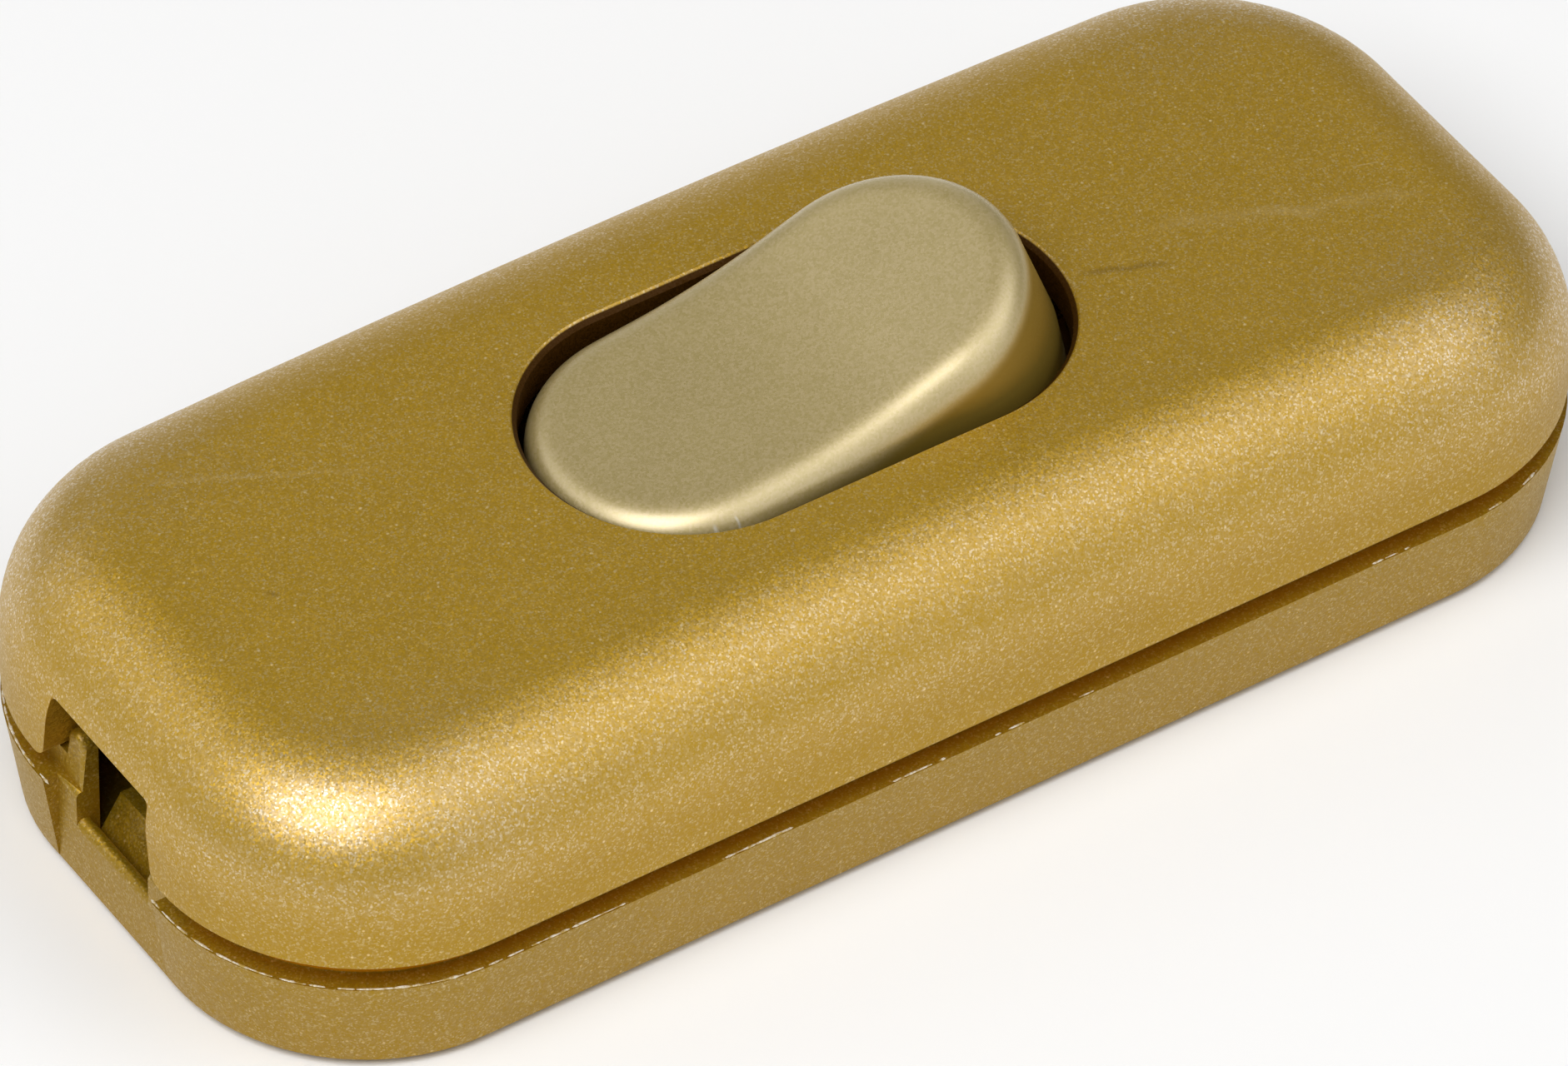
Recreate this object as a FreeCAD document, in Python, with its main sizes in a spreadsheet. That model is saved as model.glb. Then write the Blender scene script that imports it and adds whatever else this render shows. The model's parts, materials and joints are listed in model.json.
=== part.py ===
import FreeCAD
import Part
import Sketcher
import math
import os

from FreeCAD import Placement, Rotation, Vector

# Inline cord switch. X runs along the cord, Y across it and Z up from the underside, in millimetres.
# The switch is shown at rest, with the rocker's -X end pressed and its +X end raised.

doc = FreeCAD.newDocument("inline_cord_switch")
sheet = doc.addObject("Spreadsheet::Sheet", "Dims")


class Size:
    """A number together with the formula that gives it from the sheet's cells."""

    def __init__(self, number, formula):
        self.number = number
        self.formula = formula

    def __add__(self, other):
        other = as_size(other)
        return Size(self.number + other.number, f"({self.formula} + {other.formula})")

    def __sub__(self, other):
        other = as_size(other)
        return Size(self.number - other.number, f"({self.formula} - {other.formula})")

    def __mul__(self, other):
        other = as_size(other)
        return Size(self.number * other.number, f"({self.formula} * {other.formula})")

    def __truediv__(self, other):
        other = as_size(other)
        return Size(self.number / other.number, f"({self.formula} / {other.formula})")

    def __neg__(self):
        return Size(-self.number, f"(-1 * {self.formula})")

    def __radd__(self, other):
        return as_size(other) + self

    def __rsub__(self, other):
        return as_size(other) - self

    def __rmul__(self, other):
        return as_size(other) * self


def as_size(value):
    return value if isinstance(value, Size) else Size(float(value), repr(float(value)))


def sine(angle):
    return Size(math.sin(math.radians(angle.number)), f"sin({angle.formula})")


def cosine(angle):
    return Size(math.cos(math.radians(angle.number)), f"cos({angle.formula})")


def cell(alias, number, note):
    """One driving dimension: a row of the sheet, given back as a Size."""
    cell.row += 1
    sheet.set(f"A{cell.row}", alias)
    sheet.set(f"B{cell.row}", str(number))
    sheet.set(f"C{cell.row}", note)
    sheet.setAlias(f"B{cell.row}", alias)
    sheet.recompute()
    return Size(float(sheet.get(alias)), f"Dims.{alias}")


cell.row = 0

# Housing
housing_length = cell("housing_length", 60.0, "end to end, at the edges of the groove")
housing_width = cell("housing_width", 26.0, "across, at the edges of the groove")
housing_height = cell("housing_height", 12.9, "underside to the top of the crown")
corner_radius = cell("corner_radius", 8.75, "corners in plan")
base_height = cell("base_height", 4.5, "underside to the groove")
base_draft = cell("base_draft", 8.5, "lean of the base's walls, degrees")
underside_chamfer = cell("underside_chamfer", 0.4, "edge of the underside")
groove_gap = cell("groove_gap", 1.1, "height of the shadow groove")
groove_depth = cell("groove_depth", 0.9, "how far the groove's band stands back")
band_wall = cell("band_wall", 1.2, "thickness of the band under the cover's edge")
floor = cell("floor", 1.6, "thickness of the base's floor")
cover_wall = cell("cover_wall", 1.7, "thickness of the cover")
crown_radius = cell("crown_radius", 580.0, "lengthwise crown of the top")
edge_round = cell("edge_round", 4.8, "rounding between the cover's top and walls")
hollow_chamfer = cell("hollow_chamfer", 2.2, "edge between the cover's ceiling and its inner walls")
tongue_length = cell("tongue_length", 3.0, "locating tongues under the cover's long walls")
tongue_wall = cell("tongue_wall", 1.0, "thickness of a locating tongue")
tongue_depth = cell("tongue_depth", 1.2, "reach of a locating tongue into the base")
fit_gap = cell("fit_gap", 0.1, "clearance of pieces that locate each other")

# Cord entries
notch_top_width = cell("notch_top_width", 6.5, "cord notch in the cover, at its top")
notch_foot_width = cell("notch_foot_width", 7.4, "cord notch in the cover, at the groove")
notch_height = cell("notch_height", 3.4, "cord notch, above the cover's edge")
notch_flare = cell("notch_flare", 0.7, "rounding of the notch's lower corners")
notch_round = cell("notch_round", 0.3, "rounding of the notch's upper corners")
panel_width = cell("panel_width", 7.5, "flat panel below each cord entry")
panel_setback = cell("panel_setback", 0.63, "panel's plane, in from the housing's end")
channel_width = cell("channel_width", 4.9, "cord channel through the base's end wall")
ridge_top = cell("ridge_top", 3.15, "height of the panel's ridge under the cord")
ridge_wall = cell("ridge_wall", 0.62, "thickness of that ridge, which ends in a half round")
guide_width = cell("guide_width", 1.0, "guide lugs beside the cord, across the switch")
guide_length = cell("guide_length", 0.7, "guide lugs, along the switch")
guide_rise = cell("guide_rise", 1.4, "guide lugs, above the base's band")
ramp_setback = cell("ramp_setback", 1.25, "foot of the gripping ramp, in from the housing's end")
ramp_run = cell("ramp_run", 1.25, "length of the gripping ramp's slope")
ramp_crest = cell("ramp_crest", 0.5, "width of the gripping ramp's crest")
ramp_rise = cell("ramp_rise", 2.05, "height of the gripping ramp above the floor")

# Rocker and its opening
opening_length = cell("opening_length", 21.9, "rocker opening, round end to round end")
opening_width = cell("opening_width", 12.2, "rocker opening, across")
opening_chamfer = cell("opening_chamfer", 0.25, "upper edge of the opening")
rocker_gap = cell("rocker_gap", 0.3, "gap between the rocker and its opening")
pivot_depth = cell("pivot_depth", 3.0, "rocker's pivot, below the top of the crown")
rocker_tilt = cell("rocker_tilt", 13.2, "rocker's tilt at rest, either way of level, degrees")
dish_angle = cell("dish_angle", 6.8, "slope of each half of the rocker's dished top, degrees")
dish_round = cell("dish_round", 26.0, "radius between the two halves of the dish")
rocker_rise = cell("rocker_rise", 0.7, "middle of the dish, above the top of the crown")
rim_length = cell("rim_length", 19.8, "rocker's rim, end to end")
rim_width = cell("rim_width", 11.0, "rocker's rim, across")
rim_level = cell("rim_level", 5.2, "height above the pivot at which the rim is measured")
rim_chamfer = cell("rim_chamfer", 0.5, "bevel of the rocker's rim")
skirt_drop = cell("skirt_drop", 1.6, "rocker's skirt, below the pivot")
rocker_wall = cell("rocker_wall", 1.3, "thickness of the rocker's side walls")
rocker_roof = cell("rocker_roof", 1.9, "thickness of the rocker under the dish")
trunnion_radius = cell("trunnion_radius", 1.2, "rocker's pivot pins")
trunnion_gap = cell("trunnion_gap", 0.06, "running clearance round the pivot pins")
trunnion_reach = cell("trunnion_reach", 2.1, "pivot pins, out from the rocker's sides")
lug_wall = cell("lug_wall", 1.4, "thickness of a bearing lug")
lug_width = cell("lug_width", 5.2, "length of a bearing lug along the switch")
lug_drop = cell("lug_drop", 2.2, "bearing lug, below the pivot")
snap_width = cell("snap_width", 1.9, "throat of a bearing lug, narrower than the pin")
stem_radius = cell("stem_radius", 2.6, "rocker's stem")
bore_radius = cell("bore_radius", 1.5, "bore of the stem")
bore_roof = cell("bore_roof", 1.2, "rocker's thickness above the stem's bore")

# Contact mechanism
plunger_radius = cell("plunger_radius", 1.4, "plunger, in the stem's bore")
plunger_flat = cell("plunger_flat", 0.25, "radius of the flat tip of the plunger's nose")
plunger_out = cell("plunger_out", 3.2, "plunger's length outside the stem")
plunger_in = cell("plunger_in", 2.0, "plunger's length inside the stem")
plunger_gap = cell("plunger_gap", 0.15, "nose to lever as the rocker passes level")
spring_wire = cell("spring_wire", 0.34, "spring's wire, across")
spring_radius = cell("spring_radius", 1.1, "spring's coil, to the middle of the wire")
spring_turns = cell("spring_turns", 3.0, "turns of the spring")
spring_gap = cell("spring_gap", 0.05, "spring's ends to their seats")
lever_thickness = cell("lever_thickness", 0.6, "contact lever's strip")
lever_width = cell("lever_width", 4.0, "contact lever, across")
lever_bend = cell("lever_bend", 14.0, "rise of each wing of the lever, degrees")
lever_tilt = cell("lever_tilt", 9.0, "lever's tilt at rest, degrees")
lever_front = cell("lever_front", 7.6, "lever's wing that carries the contact")
lever_back = cell("lever_back", 4.6, "lever's other wing")
knife_rise = cell("knife_rise", 0.3, "fulcrum's knife edge, above its strip")
knife_gap = cell("knife_gap", 0.03, "fulcrum to lever")
contact_place = cell("contact_place", 6.2, "moving contact, out along its wing")
contact_radius = cell("contact_radius", 1.2, "contacts")
contact_flat = cell("contact_flat", 0.6, "radius of the moving contact's flat tip")
contact_height = cell("contact_height", 0.5, "moving contact's height")
contact_shoulder = cell("contact_shoulder", 0.2, "moving contact's straight side")
contact_gap = cell("contact_gap", 0.04, "between the closed contacts")

# Terminals
strip = cell("strip", 0.8, "thickness of the terminals' strips")
terminal_length = cell("terminal_length", 5.0, "line terminal's block, along the switch")
terminal_width = cell("terminal_width", 5.6, "line terminal, across")
terminal_height = cell("terminal_height", 4.6, "terminal blocks above the floor")
terminal_clear = cell("terminal_clear", 1.2, "line terminal's block, beyond the rocker opening")
ear_length = cell("ear_length", 2.6, "fulcrum's ears, along the switch")
ear_height = cell("ear_height", 2.0, "fulcrum's ears, above their strip")
wire_radius = cell("wire_radius", 1.3, "wire holes")
wire_height = cell("wire_height", 2.0, "wire holes, above the floor")
neutral_length = cell("neutral_length", 13.0, "neutral terminal, along the switch")
neutral_width = cell("neutral_width", 4.2, "neutral terminal, across")
neutral_inset = cell("neutral_inset", 0.6, "neutral terminal to the base's wall")
neutral_spread = cell("neutral_spread", 8.8, "between the neutral terminal's screws")
rib_wall = cell("rib_wall", 1.0, "thickness of the ribs that hold the terminals")
rib_height = cell("rib_height", 2.4, "those ribs, above the floor")

# Cord clamps and screws
clamp_clear = cell("clamp_clear", 2.15, "clamp bars, beyond the line terminals")
clamp_length = cell("clamp_length", 15.0, "clamp bar, across the switch")
clamp_width = cell("clamp_width", 4.4, "clamp bar, along the switch")
clamp_height = cell("clamp_height", 2.2, "clamp bar's thickness")
clamp_spread = cell("clamp_spread", 10.6, "between a clamp's screws")
clamp_tooth = cell("clamp_tooth", 0.7, "gripping tooth under the clamp bar")
post_radius = cell("post_radius", 2.2, "posts that carry the clamp bars")
post_height = cell("post_height", 3.2, "those posts, above the floor")
saddle_rise = cell("saddle_rise", 1.0, "gripping rib under the cord, above the floor")
saddle_wall = cell("saddle_wall", 1.0, "that rib's thickness")
saddle_length = cell("saddle_length", 5.6, "that rib, across the switch")
small_shank = cell("small_shank", 1.1, "shank radius of the terminal and clamp screws")
small_head = cell("small_head", 1.8, "head radius of the terminal and clamp screws")
small_head_height = cell("small_head_height", 1.2, "head height of the terminal and clamp screws")
terminal_screw_length = cell("terminal_screw_length", 2.2, "terminal screws, under the head")
clamp_screw_length = cell("clamp_screw_length", 4.6, "clamp screws, under the head")
hole_gap = cell("hole_gap", 0.05, "clearance round the screws' shanks")
slot_width = cell("slot_width", 0.5, "screwdriver slots")
slot_depth = cell("slot_depth", 0.6, "screwdriver slots")
housing_screw_inset = cell("housing_screw_inset", 4.4, "housing screws, in from the long sides")
housing_shank = cell("housing_shank", 1.05, "shank radius of the housing screws")
housing_head = cell("housing_head", 2.3, "head radius of the housing screws")
housing_head_height = cell("housing_head_height", 1.5, "head height of the housing screws")
housing_screw_length = cell("housing_screw_length", 6.8, "housing screws, under the head")
screw_recess = cell("screw_recess", 2.6, "seat of the housing screws, above the underside")
recess_gap = cell("recess_gap", 0.25, "clearance round the housing screws' heads")
base_boss_wall = cell("base_boss_wall", 0.6, "wall round the housing screws' recesses")
cover_boss_radius = cell("cover_boss_radius", 2.5, "cover's bosses for the housing screws")
pilot_depth = cell("pilot_depth", 4.8, "screw holes in the cover's bosses")

# Planes and places worked out from the sizes above
parting = base_height + groove_gap
half_length = housing_length / 2
half_width = housing_width / 2
inner_inset = groove_depth + band_wall
ceiling = housing_height - cover_wall
pivot_height = housing_height - pivot_depth
rocker_half_width = opening_width / 2 - rocker_gap
dish_middle = rocker_rise + pivot_depth
strip_top = floor + strip
fulcrum = strip_top + knife_rise + knife_gap
lever_peak = lever_thickness / cosine(lever_bend)
plunger_tip = pivot_height - fulcrum - lever_peak - plunger_gap
stem_end = plunger_tip - plunger_out
plunger_top = stem_end - plunger_in
wing_slope = lever_bend - lever_tilt
contact_x = contact_place * cosine(wing_slope) + contact_height * sine(wing_slope)
contact_z = fulcrum + contact_place * sine(wing_slope) - contact_height * cosine(wing_slope)
fixed_top = contact_z - contact_flat * sine(wing_slope) - contact_gap
terminal_face = opening_length / 2 + terminal_clear
terminal_middle = terminal_face + terminal_length / 2
terminal_top = floor + terminal_height
neutral_middle = half_width - inner_inset - neutral_inset - neutral_width / 2
clamp_middle = terminal_face + terminal_length + clamp_clear + clamp_width / 2
post_top = floor + post_height
housing_screw_y = half_width - housing_screw_inset
recess_radius = housing_head + recess_gap
base_boss_radius = recess_radius + base_boss_wall
beyond = groove_gap * 2

# How close an edge lies to where it is looked for
NEAR = 0.01
# The spring's thin wire is drawn with flat sides
SPRING_WIRE_SIDES = 6


def bind(thing, prop, value):
    thing.setExpression(prop, as_size(value).formula)


def place(thing, x=None, y=None, z=None):
    """Tie an object's place to the sheet, leaving out the axes on which it is at the origin."""
    for axis, value in zip("xyz", (x, y, z)):
        if value is not None:
            bind(thing, f"Placement.Base.{axis}", value)
    return thing


def turn(thing, axis, angle):
    """Turn an object about its own origin by an angle from the sheet."""
    thing.Placement = Placement(Vector(), Rotation(axis, as_size(angle).number))
    bind(thing, "Placement.Rotation.Angle", angle)
    return thing


def new_body(name):
    return doc.addObject("PartDesign::Body", name)


def sketch_on(body, role, name, lift=None):
    """A sketch on one of the body's own origin planes, raised along the plane's normal."""
    plane = next(item for item in body.Origin.OriginFeatures if item.Role == role)
    sketch = body.newObject("Sketcher::SketchObject", name)
    sketch.AttachmentSupport = [(plane, "")]
    sketch.MapMode = "FlatFace"
    if lift is not None:
        bind(sketch, "AttachmentOffset.Base.z", lift)
    return sketch


def dimension(sketch, kind, *where, value):
    """A driving constraint of the sketch, tied to the sheet."""
    value = as_size(value)
    index = sketch.addConstraint(Sketcher.Constraint(kind, *where, value.number))
    bind(sketch, f"Constraints[{index}]", value)


def draw_polygon(sketch, corners):
    """A closed outline whose corners are each dimensioned from the sketch's origin."""
    corners = [(as_size(x), as_size(y)) for x, y in corners]
    points = [Vector(x.number, y.number, 0) for x, y in corners]
    first = sketch.GeometryCount
    count = len(points)
    for index in range(count):
        sketch.addGeometry(Part.LineSegment(points[index], points[(index + 1) % count]), False)
    for index in range(count):
        following = first + (index + 1) % count
        sketch.addConstraint(Sketcher.Constraint("Coincident", first + index, 2, following, 1))
    for index, (x, y) in enumerate(corners):
        dimension(sketch, "DistanceX", -1, 1, first + index, 1, value=x)
        dimension(sketch, "DistanceY", -1, 1, first + index, 1, value=y)
    return sketch


def draw_rectangle(sketch, x_span, y_span):
    (left, right), (low, high) = x_span, y_span
    return draw_polygon(sketch, [(left, low), (right, low), (right, high), (left, high)])


def draw_circle(sketch, x, y, radius):
    x, y, radius = as_size(x), as_size(y), as_size(radius)
    circle = Part.Circle(Vector(x.number, y.number, 0), Vector(0, 0, 1), radius.number)
    index = sketch.addGeometry(circle, False)
    dimension(sketch, "Radius", index, value=radius)
    dimension(sketch, "DistanceX", -1, 1, index, 3, value=x)
    dimension(sketch, "DistanceY", -1, 1, index, 3, value=y)
    return sketch


def draw_rounded_rectangle(sketch, length, width, radius):
    """A rectangle with equal round corners, centred on the sketch's origin."""
    a, b, r = length.number / 2, width.number / 2, radius.number
    quarter = math.pi / 2
    sides = [((r - a, -b), (a - r, -b)), ((a, r - b), (a, b - r)),
             ((a - r, b), (r - a, b)), ((-a, b - r), (-a, r - b))]
    centres = [(a - r, r - b), (a - r, b - r), (r - a, b - r), (r - a, r - b)]
    for index, ((start, end), centre) in enumerate(zip(sides, centres)):
        sketch.addGeometry(Part.LineSegment(Vector(*start, 0), Vector(*end, 0)), False)
        corner = Part.Circle(Vector(*centre, 0), Vector(0, 0, 1), r)
        sketch.addGeometry(Part.ArcOfCircle(corner, (index - 1) * quarter, index * quarter), False)
    for index in range(8):
        sketch.addConstraint(Sketcher.Constraint("Tangent", index, 2, (index + 1) % 8, 1))
    for index, kind in ((0, "Horizontal"), (2, "Vertical"), (4, "Horizontal"), (6, "Vertical")):
        sketch.addConstraint(Sketcher.Constraint(kind, index))
    for index in (1, 3, 5):
        sketch.addConstraint(Sketcher.Constraint("Equal", index, index + 2))
    sketch.addConstraint(Sketcher.Constraint("Symmetric", 1, 3, 5, 3, -1, 1))
    dimension(sketch, "DistanceX", 6, 1, 2, 1, value=length)
    dimension(sketch, "DistanceY", 0, 1, 4, 1, value=width)
    dimension(sketch, "Radius", 1, value=radius)
    return sketch


def draw_stadium(sketch, length, width):
    """A slot with full round ends, centred on the sketch's origin and long in x."""
    r = width.number / 2
    c = length.number / 2 - r
    quarter = math.pi / 2
    right = Part.Circle(Vector(c, 0, 0), Vector(0, 0, 1), r)
    left = Part.Circle(Vector(-c, 0, 0), Vector(0, 0, 1), r)
    sketch.addGeometry(Part.LineSegment(Vector(-c, -r, 0), Vector(c, -r, 0)), False)
    sketch.addGeometry(Part.ArcOfCircle(right, -quarter, quarter), False)
    sketch.addGeometry(Part.LineSegment(Vector(c, r, 0), Vector(-c, r, 0)), False)
    sketch.addGeometry(Part.ArcOfCircle(left, quarter, 3 * quarter), False)
    for index in range(4):
        sketch.addConstraint(Sketcher.Constraint("Tangent", index, 2, (index + 1) % 4, 1))
    sketch.addConstraint(Sketcher.Constraint("Horizontal", 0))
    sketch.addConstraint(Sketcher.Constraint("Symmetric", 1, 3, 3, 3, -1, 1))
    dimension(sketch, "Radius", 1, value=width / 2)
    dimension(sketch, "DistanceX", 3, 3, 1, 3, value=length - width)
    return sketch


def pad(body, sketch, length, taper=None, reverse=False, middle=False):
    feature = body.newObject("PartDesign::Pad", sketch.Name + "Pad")
    feature.Profile = sketch
    bind(feature, "Length", length)
    if taper is not None:
        bind(feature, "TaperAngle", -taper)
    feature.Reversed = reverse
    feature.Midplane = middle
    doc.recompute()
    return feature


def pocket(body, sketch, depth=None, middle=False):
    """Cut along the sketch's normal, downwards from a lifted XY sketch, or right through."""
    feature = body.newObject("PartDesign::Pocket", sketch.Name + "Pocket")
    feature.Profile = sketch
    if depth is None:
        feature.Type = "ThroughAll"
    else:
        bind(feature, "Length", depth)
    feature.Midplane = middle
    doc.recompute()
    return feature


def revolve(body, sketch, axis):
    feature = body.newObject("PartDesign::Revolution", sketch.Name + "Turned")
    feature.Profile = sketch
    feature.ReferenceAxis = (sketch, [axis])
    feature.Angle = 360
    doc.recompute()
    return feature


def edges_where(shape, wanted):
    """Names of the edges whose bounding box and middle pass the test."""
    names = []
    for index, edge in enumerate(shape.Edges, 1):
        if wanted(edge.BoundBox, edge.CenterOfMass):
            names.append(f"Edge{index}")
    return names


def round_edges(body, radius, wanted):
    """A PartDesign fillet on the edges that pass the test."""
    base = body.Tip
    feature = body.newObject("PartDesign::Fillet", base.Name + "Round")
    feature.Base = (base, edges_where(base.Shape, wanted))
    bind(feature, "Radius", radius)
    doc.recompute()
    return feature


def bevel_edges(body, size, wanted):
    """A PartDesign chamfer on the edges that pass the test."""
    base = body.Tip
    feature = body.newObject("PartDesign::Chamfer", base.Name + "Bevel")
    feature.Base = (base, edges_where(base.Shape, wanted))
    bind(feature, "Size", size)
    doc.recompute()
    return feature


def ease_part(kind, name, base, size, wanted):
    """A Part fillet or chamfer on the edges that pass the test."""
    feature = doc.addObject(kind, name)
    feature.Base = base
    numbers = [int(edge[4:]) for edge in edges_where(base.Shape, wanted)]
    feature.Edges = [(number, size.number, size.number) for number in numbers]
    doc.recompute()
    return feature


def box(name, x_span, y_span, z_span):
    block = doc.addObject("Part::Box", name)
    for prop, (low, high) in zip(("Length", "Width", "Height"), (x_span, y_span, z_span)):
        bind(block, prop, high - low)
    return place(block, x_span[0], y_span[0], z_span[0])


def rod(name, radius, start, length, direction="z"):
    """A cylinder from its start point along one of the axes."""
    cylinder = doc.addObject("Part::Cylinder", name)
    bind(cylinder, "Radius", radius)
    bind(cylinder, "Height", length)
    if direction == "x":
        cylinder.Placement = Placement(Vector(), Rotation(Vector(0, 1, 0), 90))
    if direction == "y":
        cylinder.Placement = Placement(Vector(), Rotation(Vector(1, 0, 0), -90))
    return place(cylinder, *start)


def fuse(name, *pieces):
    joined = doc.addObject("Part::MultiFuse", name)
    joined.Shapes = list(pieces)
    joined.Refine = True
    doc.recompute()
    return joined


def cut(name, base, tool):
    result = doc.addObject("Part::Cut", name)
    result.Base = base
    result.Tool = tool
    result.Refine = True
    doc.recompute()
    return result


def group(name, pieces):
    together = doc.addObject("Part::Compound", name)
    together.Links = pieces
    doc.recompute()
    return together


def around(value, half):
    """The span that reaches half to each side of a value."""
    return (value - half, value + half)


def far_span(inner, outer):
    """The span between two distances from the middle, on the positive side."""
    return (inner, outer)


def near_span(inner, outer):
    """The same span on the negative side."""
    return (-outer, -inner)


def cover_form():
    """The cover's outer form: upright walls under a crowned top, with a large round between them."""
    body = new_body("CoverWalls")
    plan = sketch_on(body, "XY_Plane", "CoverPlan", parting)
    draw_rounded_rectangle(plan, housing_length, housing_width, corner_radius)
    pad(body, plan, housing_height)
    crown = rod("CoverCrown", crown_radius, (None, -half_width, housing_height - crown_radius),
                housing_width, "y")
    block = doc.addObject("Part::Common", "CoverBlock")
    block.Base = body
    block.Tool = crown
    doc.recompute()
    return ease_part("Part::Fillet", "CoverForm", block, edge_round,
                     lambda bounds, middle: bounds.ZMin > parting.number + NEAR)


def cover_hollow():
    """The hollow inside the cover, with a bevel that follows the large round outside."""
    body = new_body("CoverHollow")
    plan = sketch_on(body, "XY_Plane", "CoverHollowPlan", parting)
    draw_rounded_rectangle(plan, housing_length - cover_wall * 2, housing_width - cover_wall * 2,
                           corner_radius - cover_wall)
    pad(body, plan, ceiling - parting)
    bevel_edges(body, hollow_chamfer, lambda bounds, middle: bounds.ZMin > ceiling.number - NEAR)
    return body


def cord_notch():
    """The cord notches of both ends, as one bar along the switch, flared at the cover's edge."""
    body = new_body("CordNotch")
    profile = sketch_on(body, "YZ_Plane", "CordNotchProfile")
    top = parting + notch_height
    foot = parting - groove_gap
    shoulder = notch_foot_width
    draw_polygon(profile, [
        (-shoulder, foot), (shoulder, foot), (shoulder, parting), (notch_foot_width / 2, parting),
        (notch_top_width / 2, top), (-notch_top_width / 2, top),
        (-notch_foot_width / 2, parting), (-shoulder, parting)])
    pad(body, profile, housing_length + beyond, middle=True)
    corners = ((notch_flare, notch_foot_width, parting), (notch_round, notch_top_width, top))
    for radius, width, level in corners:
        corner_y, corner_z = width.number / 2, level.number
        round_edges(body, radius, lambda bounds, middle: bounds.XLength > half_length.number
                    and abs(middle.z - corner_z) < NEAR and abs(abs(middle.y) - corner_y) < NEAR)
    return body


def rocker_opening():
    body = new_body("RockerOpening")
    outline = sketch_on(body, "XY_Plane", "RockerOpeningOutline", pivot_height)
    draw_stadium(outline, opening_length, opening_width)
    pad(body, outline, housing_height)
    return body


def housing_screw_places():
    """The two housing screws stand at opposite corners, beside the line terminals."""
    return [(-terminal_middle, housing_screw_y), (terminal_middle, -housing_screw_y)]


def build_upper_housing():
    standing = []
    drilled = [cord_notch(), rocker_opening()]
    for index, (x, y) in enumerate(housing_screw_places()):
        standing.append(rod(f"CoverBoss{index}", cover_boss_radius, (x, y, parting), housing_height))
        drilled.append(rod(f"CoverPilot{index}", housing_shank + hole_gap, (x, y, parting), pilot_depth))
    lug_face = opening_width / 2 + rocker_gap
    lug_back = lug_face + lug_wall
    lug_foot = pivot_height - lug_drop
    for side, reach in (("Near", near_span), ("Far", far_span)):
        standing.append(box(f"BearingLug{side}", around(0, lug_width / 2), reach(lug_face, lug_back),
                            (lug_foot, housing_height)))
    past_lugs = lug_back + lug_wall
    drilled.append(rod("BearingHole", trunnion_radius + trunnion_gap, (None, -past_lugs, pivot_height),
                       past_lugs * 2, "y"))
    drilled.append(box("BearingThroat", around(0, snap_width / 2), around(0, past_lugs),
                       (lug_foot - lug_wall, pivot_height)))
    core = cut("CoverCore", cover_hollow(), fuse("CoverStanding", *standing))
    shell = cut("CoverShell", cover_form(), core)
    tongues = []
    tongue_middle = half_length - corner_radius - fit_gap - tongue_length / 2
    tongue_face = half_width - inner_inset - fit_gap
    tongue_back = tongue_face - tongue_wall
    wall_middle = half_width - cover_wall / 2
    for end, x in (("Left", -tongue_middle), ("Right", tongue_middle)):
        x_span = around(x, tongue_length / 2)
        for side, reach in (("Near", near_span), ("Far", far_span)):
            tongues.append(box(f"Tongue{end}{side}", x_span, reach(tongue_back, tongue_face),
                               (parting - tongue_depth, parting)))
            tongues.append(box(f"TongueRoot{end}{side}", x_span, reach(tongue_back, wall_middle),
                               (parting, parting + tongue_depth)))
    walls = fuse("CoverWalls", shell, *tongues)
    drilled_out = cut("CoverDrilled", walls, fuse("CoverDrilling", *drilled))
    opening_end = opening_length.number / 2 + NEAR
    above_ceiling = housing_height.number - cover_wall.number / 2
    return ease_part("Part::Chamfer", "UpperHousing", drilled_out, opening_chamfer,
                     lambda bounds, middle: bounds.ZMin > above_ceiling
                     and -opening_end < bounds.XMin and bounds.XMax < opening_end)


def base_block(name):
    """The base's drafted block with the groove's band standing on it, before it is hollowed."""
    body = new_body(name)
    rim = sketch_on(body, "XY_Plane", name + "Rim", base_height)
    draw_rounded_rectangle(rim, housing_length, housing_width, corner_radius)
    pad(body, rim, base_height, taper=base_draft, reverse=True)
    band = sketch_on(body, "XY_Plane", name + "Band", base_height)
    draw_rounded_rectangle(band, housing_length - groove_depth * 2, housing_width - groove_depth * 2,
                           corner_radius - groove_depth)
    pad(body, band, groove_gap)
    bevel_edges(body, underside_chamfer, lambda bounds, middle: bounds.ZMax < NEAR)
    return body


def base_tray():
    body = base_block("BaseTray")
    hollow = sketch_on(body, "XY_Plane", "BaseHollow", parting)
    draw_rounded_rectangle(hollow, housing_length - inner_inset * 2, housing_width - inner_inset * 2,
                           corner_radius - inner_inset)
    pocket(body, hollow, parting - floor)
    return body


def gripping_ramp(name, end):
    """The sloped rib inside a cord entry that bites into the cord when it is pulled."""
    body = new_body(name)
    profile = sketch_on(body, "XZ_Plane", name + "Profile")
    foot = half_length - ramp_setback
    crest = floor + ramp_rise
    back = foot - ramp_run - ramp_crest
    draw_polygon(profile, [(foot * end, floor / 2), (foot * end, floor), ((foot - ramp_run) * end, crest),
                           (back * end, crest), (back * end, floor / 2)])
    pad(body, profile, channel_width, middle=True)
    return body


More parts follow.
